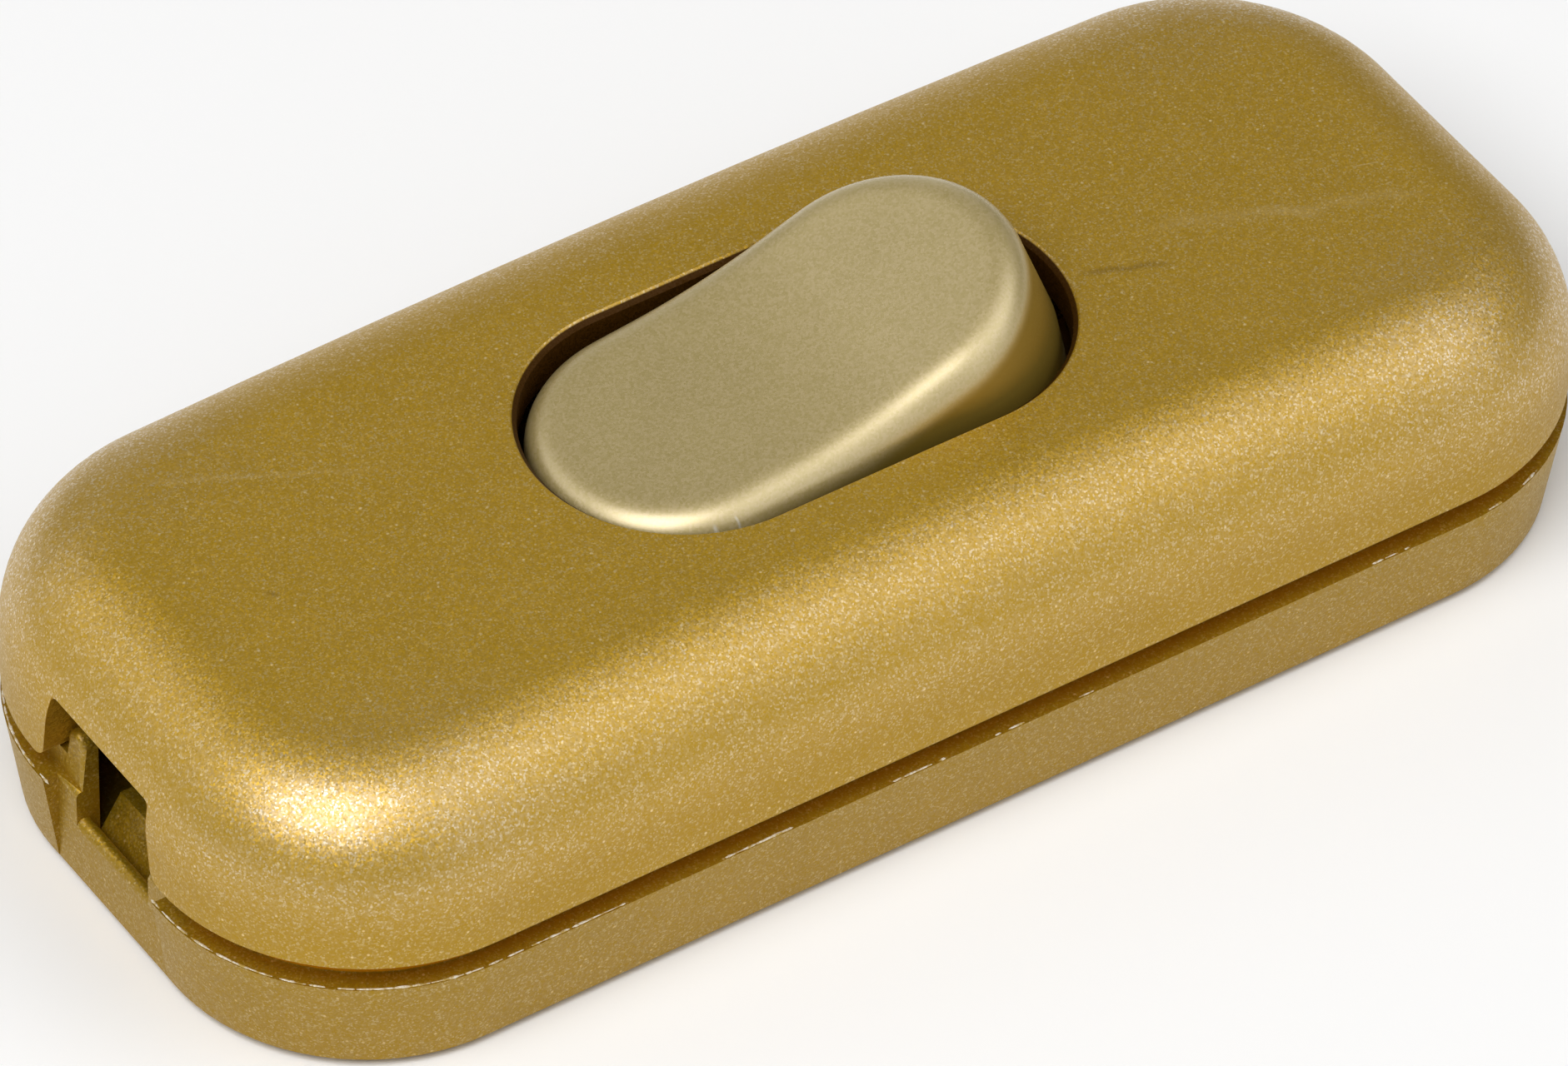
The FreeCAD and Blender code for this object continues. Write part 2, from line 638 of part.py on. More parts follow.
def build_lower_housing():
    added = [base_tray()]
    removed = []
    kept = []
    half_panel = panel_width / 2
    half_channel = channel_width / 2
    half_ridge = ridge_wall / 2
    ridge_back = half_length - panel_setback - ridge_wall
    band_face = half_length - groove_depth
    guide_back = band_face - guide_length
    wall_back = half_length - inner_inset - fit_gap
    hole_foot = post_top + clamp_height - clamp_screw_length - hole_gap
    for end, sign, reach in (("Left", -1, near_span), ("Right", 1, far_span)):
        removed.append(box(f"Panel{end}", reach(half_length - panel_setback, half_length + beyond),
                           around(0, half_panel), (-beyond, base_height + groove_gap / 2)))
        removed.append(box(f"Channel{end}", reach(wall_back, half_length + beyond),
                           around(0, half_channel), (ridge_top - half_ridge, parting + beyond)))
        removed.append(box(f"BehindRidge{end}", reach(wall_back, ridge_back), around(0, half_channel),
                           (floor, parting)))
        removed.append(box(f"BehindGuides{end}", reach(wall_back, guide_back),
                           around(0, half_channel + guide_width), (floor, parting + beyond)))
        kept.append(gripping_ramp(f"Ramp{end}", sign))
        kept.append(rod(f"Ridge{end}", half_ridge, ((ridge_back + half_ridge) * sign, -half_channel,
                                                    ridge_top - half_ridge), channel_width, "y"))
        guide_span = reach(guide_back, band_face)
        guide_crown = parting + guide_rise - guide_width / 2
        for side, across in (("Near", near_span), ("Far", far_span)):
            y_span = across(half_channel, half_channel + guide_width)
            kept.append(box(f"Guide{end}{side}", guide_span, y_span, (base_height, guide_crown)))
            kept.append(rod(f"GuideTop{end}{side}", guide_width / 2,
                            (guide_span[0], (y_span[0] + y_span[1]) / 2, guide_crown), guide_length, "x"))
        added.append(box(f"Saddle{end}", around(clamp_middle * sign, saddle_wall / 2),
                         around(0, saddle_length / 2), (floor / 2, floor + saddle_rise)))
        for side, y in (("Near", -clamp_spread / 2), ("Far", clamp_spread / 2)):
            added.append(rod(f"Post{end}{side}", post_radius, (clamp_middle * sign, y, floor / 2),
                             post_top - floor / 2))
            removed.append(rod(f"PostHole{end}{side}", small_shank + hole_gap,
                               (clamp_middle * sign, y, hole_foot), clamp_screw_length))
        rib_face = terminal_width / 2 + fit_gap
        rib_length = terminal_length / 2 - rib_wall / 2
        for side, across in (("Near", near_span), ("Far", far_span)):
            added.append(box(f"LineRib{end}{side}", around(terminal_middle * sign, rib_length),
                             across(rib_face, rib_face + rib_wall), (floor / 2, floor + rib_height)))
    rib_reach = neutral_width / 2 + fit_gap
    for side, span in (("In", (neutral_middle - rib_reach - rib_wall, neutral_middle - rib_reach)),
                       ("Out", (neutral_middle + rib_reach, half_width - inner_inset / 2))):
        added.append(box(f"NeutralRib{side}", around(0, neutral_length / 2), span,
                         (floor / 2, floor + rib_height)))
    for index, (x, y) in enumerate(housing_screw_places()):
        added.append(rod(f"BaseBoss{index}", base_boss_radius, (x, y, floor / 2), parting - floor / 2))
        removed.append(rod(f"BaseHole{index}", housing_shank + recess_gap, (x, y, -beyond),
                           parting + beyond * 2))
        removed.append(rod(f"BaseRecess{index}", recess_radius, (x, y, -beyond), screw_recess + beyond))
    # The bosses run into the walls, so they are trimmed to the outside of the block.
    trimmed = doc.addObject("Part::Common", "BaseTrimmed")
    trimmed.Base = fuse("BaseAdded", *added)
    trimmed.Tool = base_block("BaseOutside")
    doc.recompute()
    emptied = cut("BaseEmptied", trimmed, fuse("BaseRemoved", *removed))
    return fuse("LowerHousing", emptied, *kept)


def tilt_with_rocker(thing, along):
    """Put a piece that was made about the rocker's pivot, or above it by a distance, at rest."""
    turn(thing, Vector(0, 1, 0), -rocker_tilt)
    return place(thing, along * sine(rocker_tilt) * -1, None, pivot_height + along * cosine(rocker_tilt))


def build_rocker():
    """A hollow key with a dished top, drafted so that its ends stay clear of the opening as it rocks."""
    body = new_body("Rocker")
    level = sketch_on(body, "XY_Plane", "RockerLevel")
    draw_stadium(level, opening_length - rocker_gap * 2, rocker_half_width * 2)
    upper = sketch_on(body, "XY_Plane", "RockerUpper", rim_level)
    draw_stadium(upper, rim_length, rim_width)
    key = body.newObject("PartDesign::AdditiveLoft", "RockerKey")
    key.Profile = level
    key.Sections = [upper]
    key.Ruled = True
    doc.recompute()
    skirt = sketch_on(body, "XY_Plane", "RockerSkirt")
    draw_stadium(skirt, opening_length - rocker_gap * 2, rocker_half_width * 2)
    pad(body, skirt, skirt_drop, reverse=True)

    far = opening_length
    dish_end = dish_middle + far * sine(dish_angle) / cosine(dish_angle)
    top = sketch_on(body, "XZ_Plane", "RockerDish")
    draw_polygon(top, [(0, dish_middle), (far, dish_end), (far, far), (-far, far), (-far, dish_end)])
    pocket(body, top, middle=True)
    round_edges(body, dish_round, lambda bounds, middle: bounds.YLength > rocker_half_width.number
                and bounds.XLength < NEAR and abs(middle.z - dish_middle.number) < NEAR)
    bevel_edges(body, rim_chamfer, lambda bounds, middle: bounds.ZMin > dish_middle.number - NEAR
                and not (bounds.XLength < NEAR and bounds.YLength > rocker_half_width.number))
    pins = sketch_on(body, "XZ_Plane", "RockerTrunnions")
    draw_circle(pins, 0, 0, trunnion_radius)
    pad(body, pins, (rocker_half_width + trunnion_reach) * 2, middle=True)
    hollow = sketch_on(body, "XY_Plane", "RockerHollow", dish_middle - rocker_roof)
    inner_width = (rocker_half_width - rocker_wall) * 2
    inner_length = (opening_length / 2 - rocker_gap - rocker_wall * 2) * 2
    draw_stadium(hollow, inner_length, inner_width)
    pocket(body, hollow, far)
    stem = sketch_on(body, "XY_Plane", "RockerStem", -stem_end)
    draw_circle(stem, 0, 0, stem_radius)
    pad(body, stem, stem_end + dish_middle - rocker_roof)
    bore = sketch_on(body, "XY_Plane", "RockerBore", dish_middle - bore_roof)
    draw_circle(bore, 0, 0, bore_radius)
    pocket(body, bore, far)
    return tilt_with_rocker(body, as_size(0))


def turned(name, profile):
    """A body turned about Z from the (radius, height) corners of its half section."""
    body = new_body(name)
    section = sketch_on(body, "XZ_Plane", name + "Section")
    draw_polygon(section, profile)
    revolve(body, section, "V_Axis")
    return body


def draw_round_pin(sketch, radius, flat, tip, top):
    """Half the section of a pin that hangs below the sketch's origin, with a round nose and a flat tip."""
    r, f, low, high = radius.number, flat.number, -tip.number, -top.number
    shoulder = low + math.sqrt(r * r - f * f)
    nose = Part.Circle(Vector(0, shoulder, 0), Vector(0, 0, 1), r)
    sketch.addGeometry(Part.LineSegment(Vector(0, high, 0), Vector(r, high, 0)), False)
    sketch.addGeometry(Part.LineSegment(Vector(r, high, 0), Vector(r, shoulder, 0)), False)
    sketch.addGeometry(Part.ArcOfCircle(nose, -math.acos(f / r), 0), False)
    sketch.addGeometry(Part.LineSegment(Vector(f, low, 0), Vector(0, low, 0)), False)
    sketch.addGeometry(Part.LineSegment(Vector(0, low, 0), Vector(0, high, 0)), False)
    for first, first_end, second in ((0, 2, 1), (2, 1, 3), (3, 2, 4), (4, 2, 0)):
        sketch.addConstraint(Sketcher.Constraint("Coincident", first, first_end, second, 1))
    sketch.addConstraint(Sketcher.Constraint("Tangent", 1, 2, 2, 2))
    for index, kind in ((0, "Horizontal"), (1, "Vertical"), (3, "Horizontal"), (4, "Vertical")):
        sketch.addConstraint(Sketcher.Constraint(kind, index))
    sketch.addConstraint(Sketcher.Constraint("PointOnObject", 0, 1, -2))
    sketch.addConstraint(Sketcher.Constraint("PointOnObject", 2, 3, -2))
    dimension(sketch, "Radius", 2, value=radius)
    dimension(sketch, "DistanceX", 3, 2, 3, 1, value=flat)
    dimension(sketch, "DistanceY", -1, 1, 0, 1, value=-top)
    dimension(sketch, "DistanceY", -1, 1, 3, 2, value=-tip)
    return sketch


def build_plunger():
    """A pin that slides in the stem's bore and presses on the lever."""
    body = new_body("Plunger")
    section = sketch_on(body, "XZ_Plane", "PlungerSection")
    draw_round_pin(section, plunger_radius, plunger_flat, plunger_tip, plunger_top)
    revolve(body, section, "V_Axis")
    return tilt_with_rocker(body, as_size(0))


def build_plunger_spring():
    """A helix between the plunger's top and the roof of the stem's bore."""
    room = dish_middle - bore_roof + plunger_top
    rise = room - spring_gap * 2 - spring_wire
    helix = doc.addObject("Part::Helix", "SpringPath")
    bind(helix, "Radius", spring_radius)
    bind(helix, "Height", rise)
    bind(helix, "Pitch", rise / spring_turns)
    wire = doc.addObject("Part::RegularPolygon", "SpringWire")
    wire.Polygon = SPRING_WIRE_SIDES
    bind(wire, "Circumradius", spring_wire / 2)
    wire.Placement = Placement(Vector(), Rotation(Vector(1, 0, 0), 90))
    place(wire, spring_radius)
    doc.recompute()
    coil = doc.addObject("Part::Sweep", "PlungerSpring")
    coil.Sections = [wire]
    coil.Spine = (helix, ["Edge1"])
    coil.Solid = True
    coil.Frenet = True
    doc.recompute()
    return tilt_with_rocker(coil, spring_gap + spring_wire / 2 - plunger_top)


def build_contact_lever():
    """A strip bent to a shallow V that rocks on the fulcrum's knife edge."""
    body = new_body("ContactLever")
    outline = sketch_on(body, "XZ_Plane", "LeverOutline")
    run, rise = cosine(lever_bend), sine(lever_bend)
    lift_x, lift_z = lever_thickness * rise, lever_thickness * run
    draw_polygon(outline, [
        (0, 0), (lever_front * run, lever_front * rise),
        (lever_front * run - lift_x, lever_front * rise + lift_z), (0, lever_peak),
        (lift_x - lever_back * run, lever_back * rise + lift_z), (-lever_back * run, lever_back * rise)])
    pad(body, outline, lever_width, middle=True)
    turn(body, Vector(0, 1, 0), lever_tilt)
    return place(body, None, None, fulcrum)


def build_moving_contact():
    body = turned("MovingContact", [(0, 0), (0, -contact_height), (contact_flat, -contact_height),
                                    (contact_radius, -contact_shoulder), (contact_radius, 0)])
    turn(body, Vector(0, 1, 0), -wing_slope)
    return place(body, contact_place * cosine(wing_slope), None, fulcrum + contact_place * sine(wing_slope))


def build_fixed_contact():
    """A rivet with a flat head on the outgoing terminal's tongue."""
    head = fixed_top - strip_top
    shank = contact_flat
    body = turned("FixedContact", [(0, -strip), (shank, -strip), (shank, 0), (contact_radius, 0),
                                   (contact_radius, head), (0, head)])
    return place(body, contact_x, None, strip_top)


def drill_block(body, name, screws, width_middle):
    """A terminal's wire hole, along the switch, and its screw holes from above."""
    wire = sketch_on(body, "YZ_Plane", name + "WireHole")
    draw_circle(wire, width_middle, floor + wire_height, wire_radius)
    pocket(body, wire, middle=True)
    holes = sketch_on(body, "XY_Plane", name + "ScrewHoles", terminal_top)
    for x in screws:
        draw_circle(holes, x, width_middle, small_shank + hole_gap)
    pocket(body, holes, terminal_height - wire_height)


def build_incoming_terminal():
    """The block for the incoming wire, its strip and the fulcrum with an ear on each side."""
    body = new_body("IncomingTerminal")
    outline = sketch_on(body, "XZ_Plane", "IncomingOutline")
    back = -terminal_face - terminal_length
    tip = ear_length / 2
    ear_top = strip_top + ear_height
    draw_polygon(outline, [(back, floor), (tip, floor), (tip, ear_top), (-tip, ear_top), (-tip, strip_top),
                           (-terminal_face, strip_top), (-terminal_face, terminal_top), (back, terminal_top)])
    pad(body, outline, terminal_width, middle=True)
    drill_block(body, "Incoming", [-terminal_middle], 0)
    cradle = sketch_on(body, "XY_Plane", "FulcrumCradle", ear_top)
    draw_rectangle(cradle, around(0, ear_length), around(0, lever_width / 2 + fit_gap * 2))
    pocket(body, cradle, ear_height)
    knife = sketch_on(body, "XZ_Plane", "FulcrumKnife")
    draw_polygon(knife, [(-knife_rise * 2, strip_top), (knife_rise * 2, strip_top),
                         (0, strip_top + knife_rise)])
    pad(body, knife, lever_width, middle=True)
    return body


def build_outgoing_terminal():
    """The block for the outgoing wire and the tongue that carries the fixed contact."""
    body = new_body("OutgoingTerminal")
    outline = sketch_on(body, "XZ_Plane", "OutgoingOutline")
    back = terminal_face + terminal_length
    tip = contact_x - contact_radius - strip
    draw_polygon(outline, [(tip, floor), (back, floor), (back, terminal_top), (terminal_face, terminal_top),
                           (terminal_face, strip_top), (tip, strip_top)])
    pad(body, outline, terminal_width, middle=True)
    drill_block(body, "Outgoing", [terminal_middle], 0)
    seat = sketch_on(body, "XY_Plane", "FixedContactSeat", strip_top)
    draw_circle(seat, contact_x, 0, contact_flat)
    pocket(body, seat, strip)
    return body


def build_neutral_terminal():
    """A bar with one wire hole from end to end and a screw near each end."""
    body = new_body("NeutralTerminal")
    outline = sketch_on(body, "XY_Plane", "NeutralOutline", floor)
    draw_rectangle(outline, around(0, neutral_length / 2), around(neutral_middle, neutral_width / 2))
    pad(body, outline, terminal_height)
    drill_block(body, "Neutral", [-neutral_spread / 2, neutral_spread / 2], neutral_middle)
    return body


def build_cord_clamp(name, x):
    """A bar across the cord with a blunt gripping tooth and two screw holes."""
    body = new_body(name)
    outline = sketch_on(body, "XY_Plane", name + "Outline", post_top)
    draw_stadium_across(outline, x)
    pad(body, outline, clamp_height)
    tooth = sketch_on(body, "XZ_Plane", name + "Tooth")
    draw_polygon(tooth, [(x - clamp_tooth, post_top), (x, post_top - clamp_tooth),
                         (x + clamp_tooth, post_top)])
    pad(body, tooth, channel_width, middle=True)
    holes = sketch_on(body, "XY_Plane", name + "Holes", post_top + clamp_height)
    for y in (-clamp_spread / 2, clamp_spread / 2):
        draw_circle(holes, x, y, small_shank + hole_gap)
    pocket(body, holes, clamp_height)
    return body


def draw_stadium_across(sketch, x):
    """The clamp bar's outline, a bar across the switch with full round ends."""
    r = clamp_width.number / 2
    c = clamp_length.number / 2 - r
    middle = x.number
    quarter = math.pi / 2
    far = Part.Circle(Vector(middle, c, 0), Vector(0, 0, 1), r)
    near = Part.Circle(Vector(middle, -c, 0), Vector(0, 0, 1), r)
    sketch.addGeometry(Part.LineSegment(Vector(middle + r, -c, 0), Vector(middle + r, c, 0)), False)
    sketch.addGeometry(Part.ArcOfCircle(far, 0, 2 * quarter), False)
    sketch.addGeometry(Part.LineSegment(Vector(middle - r, c, 0), Vector(middle - r, -c, 0)), False)
    sketch.addGeometry(Part.ArcOfCircle(near, 2 * quarter, 4 * quarter), False)
    for index in range(4):
        sketch.addConstraint(Sketcher.Constraint("Tangent", index, 2, (index + 1) % 4, 1))
    sketch.addConstraint(Sketcher.Constraint("Vertical", 0))
    sketch.addConstraint(Sketcher.Constraint("Symmetric", 1, 3, 3, 3, -1))
    dimension(sketch, "Radius", 1, value=clamp_width / 2)
    dimension(sketch, "DistanceY", 3, 3, 1, 3, value=clamp_length - clamp_width)
    dimension(sketch, "DistanceX", -1, 1, 1, 3, value=x)


def build_screw(name, head, head_height, shank, length):
    """A slotted screw that stands on the underside of its head."""
    body = turned(name, [(0, -length), (shank, -length), (shank, 0), (head, 0), (head, head_height),
                         (0, head_height)])
    slot = sketch_on(body, "XY_Plane", name + "Slot", head_height)
    draw_rectangle(slot, around(0, head * 2), around(0, slot_width / 2))
    pocket(body, slot, slot_depth)
    return body


def small_screws(name, places, seat, length):
    screws = []
    for index, (x, y) in enumerate(places):
        screw = build_screw(f"{name}{index}", small_head, small_head_height, small_shank, length)
        screws.append(place(screw, x, y, seat))
    return group(name, screws)


def build_housing_screws():
    """The housing screws point up, with their heads in the base's recesses."""
    screws = []
    for index, (x, y) in enumerate(housing_screw_places()):
        screw = build_screw(f"HousingScrew{index}", housing_head, housing_head_height, housing_shank,
                            housing_screw_length)
        screw.Placement = Placement(Vector(), Rotation(Vector(1, 0, 0), 180))
        screws.append(place(screw, x, y, screw_recess))
    return group("HousingScrews", screws)


def line_screw_places():
    return [(terminal_middle * end, 0) for end in (-1, 1)]


def neutral_screw_places():
    return [(neutral_spread / 2 * end, neutral_middle) for end in (-1, 1)]


def clamp_screw_places():
    return [(clamp_middle * end, clamp_spread / 2 * side) for end in (-1, 1) for side in (-1, 1)]


sub_parts = {
    "upper_housing": build_upper_housing(),
    "lower_housing": build_lower_housing(),
    "rocker": build_rocker(),
    "plunger": build_plunger(),
    "plunger_spring": build_plunger_spring(),
    "contact_lever": build_contact_lever(),
    "moving_contact": build_moving_contact(),
    "fixed_contact": build_fixed_contact(),
    "incoming_terminal": build_incoming_terminal(),
    "outgoing_terminal": build_outgoing_terminal(),
    "neutral_terminal": build_neutral_terminal(),
    "line_terminal_screws": small_screws("LineTerminalScrews", line_screw_places(), terminal_top,
                                         terminal_screw_length),
    "neutral_terminal_screws": small_screws("NeutralTerminalScrews", neutral_screw_places(), terminal_top,
                                            terminal_screw_length),
    "cord_clamp_left": build_cord_clamp("CordClampLeft", -clamp_middle),
    "cord_clamp_right": build_cord_clamp("CordClampRight", clamp_middle),
    "clamp_screws": small_screws("ClampScrews", clamp_screw_places(), post_top + clamp_height,
                                 clamp_screw_length),
    "housing_screws": build_housing_screws(),
}

for node, piece in sub_parts.items():
    piece.Label = node
doc.recompute()

for item in doc.Objects:
    if "Invalid" in item.State or "Error" in item.State:
        raise RuntimeError(f"{item.Name} failed: {item.State}")
for node, piece in sub_parts.items():
    if piece.Shape.isNull() or not piece.Shape.isValid():
        raise RuntimeError(f"{node} has no valid shape")

os.makedirs("parts", exist_ok=True)
for node, piece in sub_parts.items():
    piece.Shape.exportStep(f"parts/{node}.step")
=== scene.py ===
import json
import math

import bmesh
import bpy
from mathutils import Matrix, Vector


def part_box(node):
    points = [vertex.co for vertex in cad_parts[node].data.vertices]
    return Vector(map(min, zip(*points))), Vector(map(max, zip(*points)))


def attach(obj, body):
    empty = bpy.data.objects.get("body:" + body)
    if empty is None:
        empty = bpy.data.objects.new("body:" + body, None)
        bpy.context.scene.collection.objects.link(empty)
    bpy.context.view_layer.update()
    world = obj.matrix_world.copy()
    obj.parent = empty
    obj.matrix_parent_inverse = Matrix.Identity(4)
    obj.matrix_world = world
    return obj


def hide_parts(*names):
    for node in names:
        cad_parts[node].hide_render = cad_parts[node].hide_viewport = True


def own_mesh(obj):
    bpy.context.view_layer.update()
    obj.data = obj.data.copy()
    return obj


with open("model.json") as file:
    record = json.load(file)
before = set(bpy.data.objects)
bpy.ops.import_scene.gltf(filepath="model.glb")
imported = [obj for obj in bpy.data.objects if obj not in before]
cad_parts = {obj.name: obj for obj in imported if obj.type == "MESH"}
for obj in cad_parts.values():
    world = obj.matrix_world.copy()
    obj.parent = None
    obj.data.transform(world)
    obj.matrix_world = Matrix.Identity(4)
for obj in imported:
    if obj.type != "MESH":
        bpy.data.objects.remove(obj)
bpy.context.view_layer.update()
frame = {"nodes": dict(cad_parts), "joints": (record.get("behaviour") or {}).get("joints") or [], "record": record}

# An inline cord switch of flaked gold plastic with a satin champagne rocker. Sizes are in millimetres
# and become metres where a mesh is made. X runs along the switch, Y across it and Z up.
MM = 0.001

# The photograph's view, 1882 pixels wide and seen through a long lens
PHOTO_WIDTH = 1882
VIEW_AZIMUTH, VIEW_ELEVATION, VIEW_ROLL = -34.199, 43.392, 1.070
VIEW_DISTANCE = 540.5
PIXELS_PER_MM = 32.717
AIM_RIGHT, AIM_UP = -0.353, -1.453
SENSOR, NEAR_CLIP = 36.0, 10.0

# The floor, a hair below the base: the whites that are looked at and the grey that throws light up
FLOOR_LEVEL, FLOOR_HALF = -0.02, 1500.0
FLOOR_WHITES, FLOOR_GREY, FLOOR_BLOTCH = (0.97, 0.99), 0.42, 400.0
FLOOR_ROUGH = 0.9

# The soft boxes round the switch: azimuth and elevation in degrees, size in metres, power in watts
WORLD_STRENGTH, LAMP_DISTANCE = 0.09, 0.9
LAMPS = {
    "key": (-63, 57, 0.62, 6.2),
    "high_right": (62, 60, 0.7, 1.4),
    "front_right": (30, 37, 1.0, 2.4),
    "left_far": (-138, 32, 0.75, 1.35),
    "far_low": (155, 13, 0.6, 0.4),
}

# The rocker, measured about its pivot with its top level
ROCKER_TILT = 13.2
ROCKER_HALF_LENGTH, ROCKER_HALF_WIDTH = 10.65, 5.8
RIM_HALF_LENGTH, RIM_HALF_WIDTH, RIM_LEVEL = 9.9, 5.5, 5.2
RIM_ROUND, DISH_INSET = 1.35, 1.2
DISH_MIDDLE, DISH_SLOPE, DISH_ROUND = 3.7, 6.8, 26.0
SKIRT_DROP = 1.6
ROCKER_WALL, ROCKER_ROOF = 1.3, 1.9
PIN_RADIUS, PIN_REACH, PIN_SINK = 1.2, 7.9, 0.6
STEM_RADIUS, STEM_DROP, STEM_SINK, BORE_RADIUS, BORE_ROOF = 2.6, 3.21, 0.4, 1.5, 1.2

# How finely the rocker is divided: round its ends, along its sides, up its wall and over its rim
END_STEPS, SIDE_STEPS, WALL_STEPS, RIM_STEPS = 48, 28, 8, 8
HOLLOW_END_STEPS, HOLLOW_SIDE_STEPS, ROD_SIDES = 24, 8, 40
LEVEL_ROUNDS = 6
ROCKER_CRISP = 35

# The plunger's spring, in the stem's bore, and how far the plunger can push it together
SPRING_RADIUS, SPRING_WIRE, SPRING_TURNS = 1.1, 0.34, 3.0
SPRING_FOOT, SPRING_HEAD, SPRING_STROKE = -1.16, 2.45, 0.6
TURN_STEPS, WIRE_SIDES = 40, 12

# The housing's plastic: two tones of its body, and the tone, size, lean and share of its flakes
GOLD_DARK, GOLD_LIGHT, GOLD_BLOTCH = (0.530, 0.314, 0.006), (0.600, 0.356, 0.011), 3.0
FLAKE_TONE, FLAKE_SIZE, FLAKE_TILT, FLAKE_SHOWS = (0.66, 0.43, 0.050), 0.070, 0.34, 0.65
# Painted glints: the pale tone, size and share of coarse flakes painted bright, a tone the pale flow marks share
PALE_MARK_AND_GLINT_TONE, GLINT_SIZE, GLINT_SHARE, GLINT_MIDDLE = (0.86, 0.66, 0.30), 0.15, 0.05, (0.15, 0.55)
# Painted shade: how much the base's colour is darkened all over, its share of painted glints, and how far the
# cover's walls darken low down
BASE_SHADE, BASE_GLINTS, LOW_WALL_SHADE = 0.72, 0.6, 0.17
GOLD_METAL, SHADED_METAL_LOSS, GOLD_ROUGH, ROUGH_SPREAD = 0.68, 0.55, 0.46, 0.08
GOLD_SPECULAR, SKIN_IOR, SKIN_ROUGH = 0.1, 2.5, 0.38

# How thick the clear skin lies on cover and base, low down, from flake to flake and at rubbed corners
COVER_SKIN, BASE_SKIN, LOW_SKIN = 1.2, 0.55, 0.5
SHINE_LEAST, SHINE_SPREAD, FLAKE_SHINE, FLAKE_SHINES = 0.14, 0.5, 0.6, 0.80
POLISH_LOW, POLISH_HIGH = 6.5, 10.5
RUBBED_ALONG, RUBBED_ACROSS, RUBBED_GAIN = (16, 23), (4, 8), 0.6

# Painted light in the housing's cuts and low places: the groove's painted bounce light, one dark tone for painted
# shade low on the cover's walls and for the dark flow marks, the painted shade in the rocker's opening and in the
# cord notches, and how softly each begins
GROOVE_BOUNCE_TONE, GROOVE_RISE, GROOVE_START = (0.80, 0.34, 0.007), (0.03, 0.12), (1.0, 1.5)
DARK_MARK_AND_SHADE_TONE, NOTCH_SHADE_TONE = (0.10, 0.042, 0.002), (0.42, 0.215, 0.010)
OPENING_SHADE_TONE, OPENING_FADE, OPENING_RISE = (0.050, 0.019, 0.001), (0.10, 0.04), (8, 8.5)
JAMB_FADE, LIP_FADE, NOTCH_START = (0.015, 0.05), (0.08, 0.02), (24, 25)

# Marks on the cover's top: where each begins and ends, its width, its waver and how strongly it shows
PALE_MARKS = (
    ((14.6, -0.6), (21.5, -2.9), 0.55, 1.4, 0.14),
    ((18.5, -2.0), (25.8, -4.4), 0.45, 1.6, 0.14),
    ((-23.6, 8.1), (-15.0, 3.4), 0.26, 0.5, 0.13),
    ((23.5, -1.72), (24.7, -2.0), 0.05, 0.3, 0.55),
)
DARK_MARKS = (
    ((11.3, -1.3), (15.0, -2.7), 0.28, 0.5, 0.30),
    ((-22.4, 0.6), (-22.0, 0.2), 0.20, 0.2, 0.30),
)
MARK_WAVE, MARK_FADE = 1.5, 0.25

# The rocker's satin: two tones, its grain, the painted shade down its walls and the nicks in its rim
CHAMPAGNE_DARK, CHAMPAGNE_LIGHT, SATIN_BLOTCH = (0.510, 0.389, 0.116), (0.584, 0.453, 0.148), 2.4
CHAMPAGNE_GRAIN, ROCKER_GRAIN, GRAIN_SHARE = (0.74, 0.58, 0.34), 0.09, 0.40
CHAMPAGNE_WALL_SHADE, WALL_FOOT, WALL_HEAD, WALL_SKIN_LOSS = (0.34, 0.225, 0.030), 1.6, 0.6, 0.85
SATIN_METAL, SATIN_ROUGH, SATIN_SKIN_IOR, SATIN_SKIN_ROUGH = 0.50, 0.40, 2.2, 0.38
SATIN_PITS, SATIN_PIT_SHOW, PIT_DEPTH = 0.12, 0.12, 0.02
NICK_TONE, NICK_SHARE, NICK_WAVER, RIM_FADE = (0.95, 0.90, 0.76), 0.6, 0.3, 0.3
RIM_NICKS = (((-6.92, -5.0), (-6.78, -5.55), 0.11), ((-6.1, -5.15), (-5.96, -5.7), 0.08))

# Metals and plastics inside: a main tone, a second tone and a roughness for each
METALS = {
    "contact_brass": ((0.78, 0.55, 0.22), (0.60, 0.40, 0.15), 0.26),
    "contact_silver": ((0.80, 0.79, 0.76), (0.62, 0.60, 0.56), 0.28),
    "screw_steel": ((0.62, 0.61, 0.58), (0.46, 0.45, 0.42), 0.30),
    "spring_steel": ((0.55, 0.55, 0.55), (0.40, 0.40, 0.40), 0.28),
}
PLASTICS = {
    "plunger_nylon": ((0.80, 0.79, 0.74), (0.70, 0.69, 0.63), 0.40),
    "clamp_plastic": ((0.08, 0.078, 0.075), (0.05, 0.048, 0.046), 0.45),
}
DRAWN_SIZE, DRAWN_STRETCH, DRAWN_ROUGH, DRAWN_SHOW = 0.5, (0.12, 1.0, 1.0), 0.18, 0.15
DULL_SIZE, DULL_RANGE = 1.6, (0.42, 0.70)
MATT_SIZE, MATT_ROUGH, MATT_SHOW, MATT_BLOTCH = 0.12, 0.12, 0.12, 2.2

# The cover's cut edges: the rocker's opening and the cord notches, as half widths and levels
OPENING_HALF_LENGTH, OPENING_HALF_WIDTH, OPENING_CHAMFER = 10.95, 6.1, 0.25
NOTCH_FOOT, NOTCH_TOP, NOTCH_FOOT_LEVEL, NOTCH_TOP_LEVEL = 3.7, 3.25, 5.6, 9.0

# How the housing's own solids are joined up and eased
JOIN_DISTANCE, FLAT_ANGLE, CRISP_ANGLE = 0.002, 0.3, 32
EASE_WIDTH, EASE_STEPS = 0.10, 2

